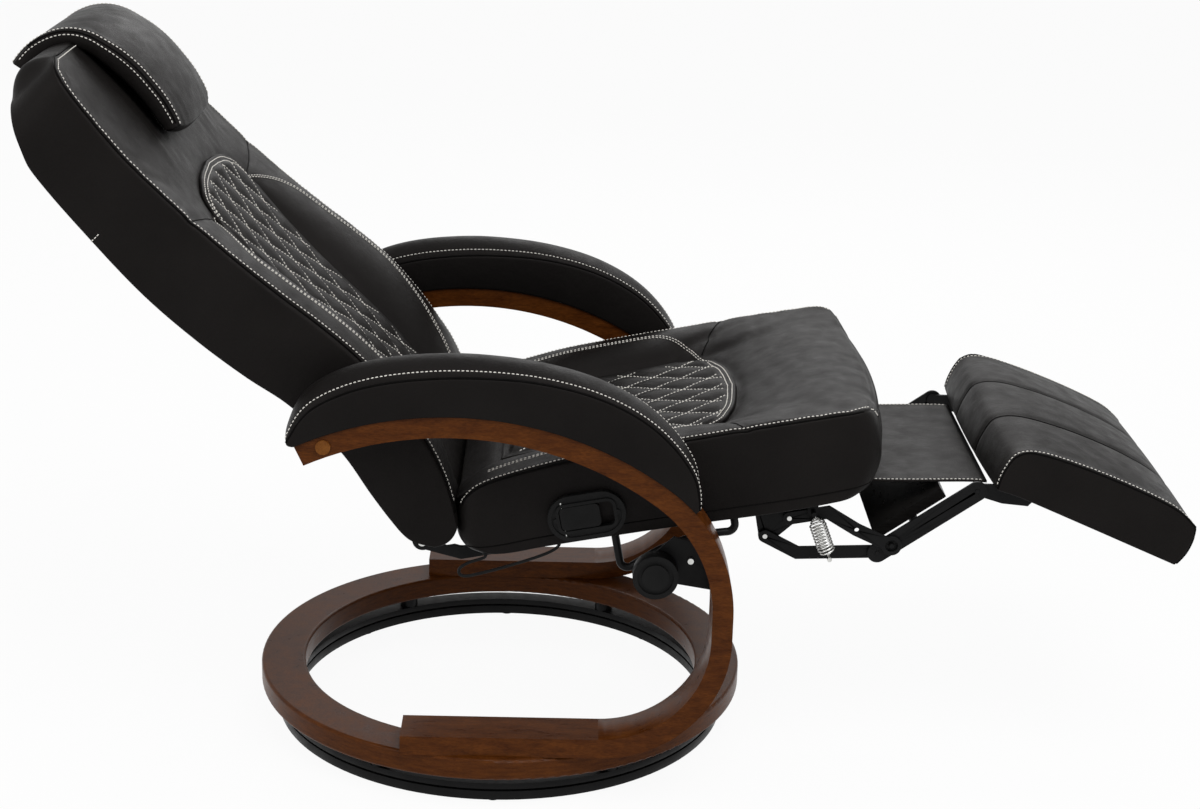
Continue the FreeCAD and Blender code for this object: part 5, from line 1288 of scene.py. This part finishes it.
def make_flap():
    rows = round((FLAP_END - FLAP_START) / FLAP_STEP)
    columns = round(2 * FLAP_HALF / FLAP_STEP)
    verts = []
    for i in range(rows + 1):
        x = FLAP_START + (FLAP_END - FLAP_START) * i / rows
        for j in range(columns + 1):
            across = 2 * j / columns - 1
            sag = FLAP_SAG * (1 - across ** 2) * math.sin(math.pi * i / rows)
            verts.append(Vector((x, FLAP_HALF * across, flap_height(x) - sag)) * MM)
    sheet = new_object("leg_flap_sheet", verts, grid_faces(rows, columns), LEATHER)
    turn_faces(sheet, Vector((0, 0, 1)))
    modify(sheet, "SOLIDIFY", thickness=FLAP_THICKNESS * MM, offset=0)
    return sheet


def sew_flap(sheet):
    surface = surface_of(sheet)
    stitches = Tubes("flap_stitching", THREAD)
    for _, side in SIDES:
        def flap_row(x):
            return Vector((x, side * (FLAP_HALF - FLAP_ROW), flap_height(x) + SEWN_LIFT)) * MM

        line = line_of(flap_row, FLAP_START + FLAP_ROW_END, FLAP_END - FLAP_ROW_END, 30)
        stitches.row(line, surface)
    return stitches.finish("seat", "flap_leather")


flap = make_flap()
flap_sewn = sew_flap(flap)
put_on(flap, "seat", "leg_flap")
flap_length = sum(math.hypot(MEASURE_STEP, flap_height(x + MEASURE_STEP) - flap_height(x))
                  for x in range(FLAP_START, FLAP_END, MEASURE_STEP))
for strip in (flap, flap_sewn):
    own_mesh(strip)

# Tension springs of the footrest, stretched between the seat and the lower links.

SPRING_TOP, SPRING_FOOT = (399, 364), (422, 303)
SPRING_Y = 208
SPRING_RADIUS = 10.2
SPRING_WIRE = 1.1
SPRING_TURNS = 12
SPRING_PEG = 3
SPRING_HOOK = 2
SPRING_LEAD = 4
TURN_STEPS = 20
WIRE_SIDES = 10


def spring_line():
    """The wire's line along the spring's own axis: an end hook, the turns and a hook again."""
    length = math.dist(SPRING_TOP, SPRING_FOOT)
    low = SPRING_PEG + SPRING_LEAD
    rise = length - 2 * low
    hook = [Vector((0, 0, SPRING_PEG)), Vector((0, 0, SPRING_PEG + SPRING_HOOK))]
    turns = []
    count = SPRING_TURNS * TURN_STEPS
    for i in range(count + 1):
        angle = 2 * math.pi * i / TURN_STEPS
        ends = min(1.0, i / TURN_STEPS, (count - i) / TURN_STEPS * 0.5)
        spread = SPRING_RADIUS * (0.3 + 0.7 * ends)
        turns.append(Vector((spread * math.cos(angle), spread * math.sin(angle),
                             low + rise * i / count)))
    return hook + turns + [Vector((0, 0, length - point.z)) for point in hook[::-1]]


def make_spring(side_name, side):
    foot_at = Vector((SPRING_FOOT[0], side * SPRING_Y, SPRING_FOOT[1]))
    top_at = Vector((SPRING_TOP[0], side * SPRING_Y, SPRING_TOP[1]))
    turn = (top_at - foot_at).to_track_quat("Z", "Y").to_matrix()
    line = [foot_at + turn @ point for point in spring_line()]
    wire = Tubes(f"footrest_spring_{side_name}_wire", ZINC, WIRE_SIDES)
    for i, at in enumerate(line):
        way = (line[min(i + 1, len(line) - 1)] - line[max(i - 1, 0)]).normalized()
        side_way = way.cross(turn @ Vector((0, 0, 1)))
        if side_way.length < 1e-3:
            side_way = turn @ Vector((1, 0, 0))
        side_way.normalize()
        wire.ring(at * MM, side_way, side_way.cross(way), SPRING_WIRE)
    wire.skin(0, len(line))
    spring = wire.make()
    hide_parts(f"footrest_spring_{side_name}")
    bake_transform(spring)


for side_name, side in SIDES:
    make_spring(side_name, side)

# Floor, world and lamps.

FLOOR_HALF = 15
FLOOR_WHITE = 0.94
WORLD_LIGHT = 0.4


def make_floor():
    corners = [(x * FLOOR_HALF, y * FLOOR_HALF, 0) for x, y in ((-1, -1), (1, -1), (1, 1), (-1, 1))]
    paint = Surface("pale_floor", specular=0.1)
    pale = paint.finish({"Base Color": paint.ramp(paint.noise(3), 0.87, 0.89), "Roughness": 0.9})
    paint.show_white(paint.shader.outputs["BSDF"], "Emission", "Material Output", FLOOR_WHITE)
    floor = new_object("floor", corners, [(0, 1, 2, 3)], pale)
    turn_faces(floor, Vector((0, 0, 1)))


def make_world():
    """An even pale surround that looks white to the camera."""
    scene.world = bpy.data.worlds.new("studio")
    studio = NodeTree(scene.world)
    light = studio.tree.nodes["Background"]
    studio.set(light, {"Color": (1, 1, 1, 1), "Strength": WORLD_LIGHT})
    studio.show_white(light.outputs["Background"], "Background", "World Output", 1.0)


def make_lamp(name, at, target, size, power):
    """A rectangular lamp; its places and sizes are in metres."""
    data = bpy.data.lights.new(name, "AREA")
    data.shape = "RECTANGLE"
    data.size, data.size_y = size
    data.energy = power
    lamp = add_object(name, data)
    lamp.location = at
    lamp.rotation_euler = (Vector(target) - Vector(at)).to_track_quat("-Z", "Y").to_euler()


make_floor()
make_world()
make_lamp("key", at=(0.9, -1.6, 3.2), target=(0.1, 0, 0.5), size=(2.2, 1.6), power=62)
make_lamp("fill", at=(-2.6, -2.4, 1.8), target=(0, 0, 0.5), size=(1.8, 1.8), power=20)
make_lamp("back_light", at=(0.6, 2.8, 2.4), target=(0.1, 0, 0.5), size=(2.4, 1.2), power=34)
scene.view_settings.view_transform = "Standard"

bpy.context.view_layer.update()
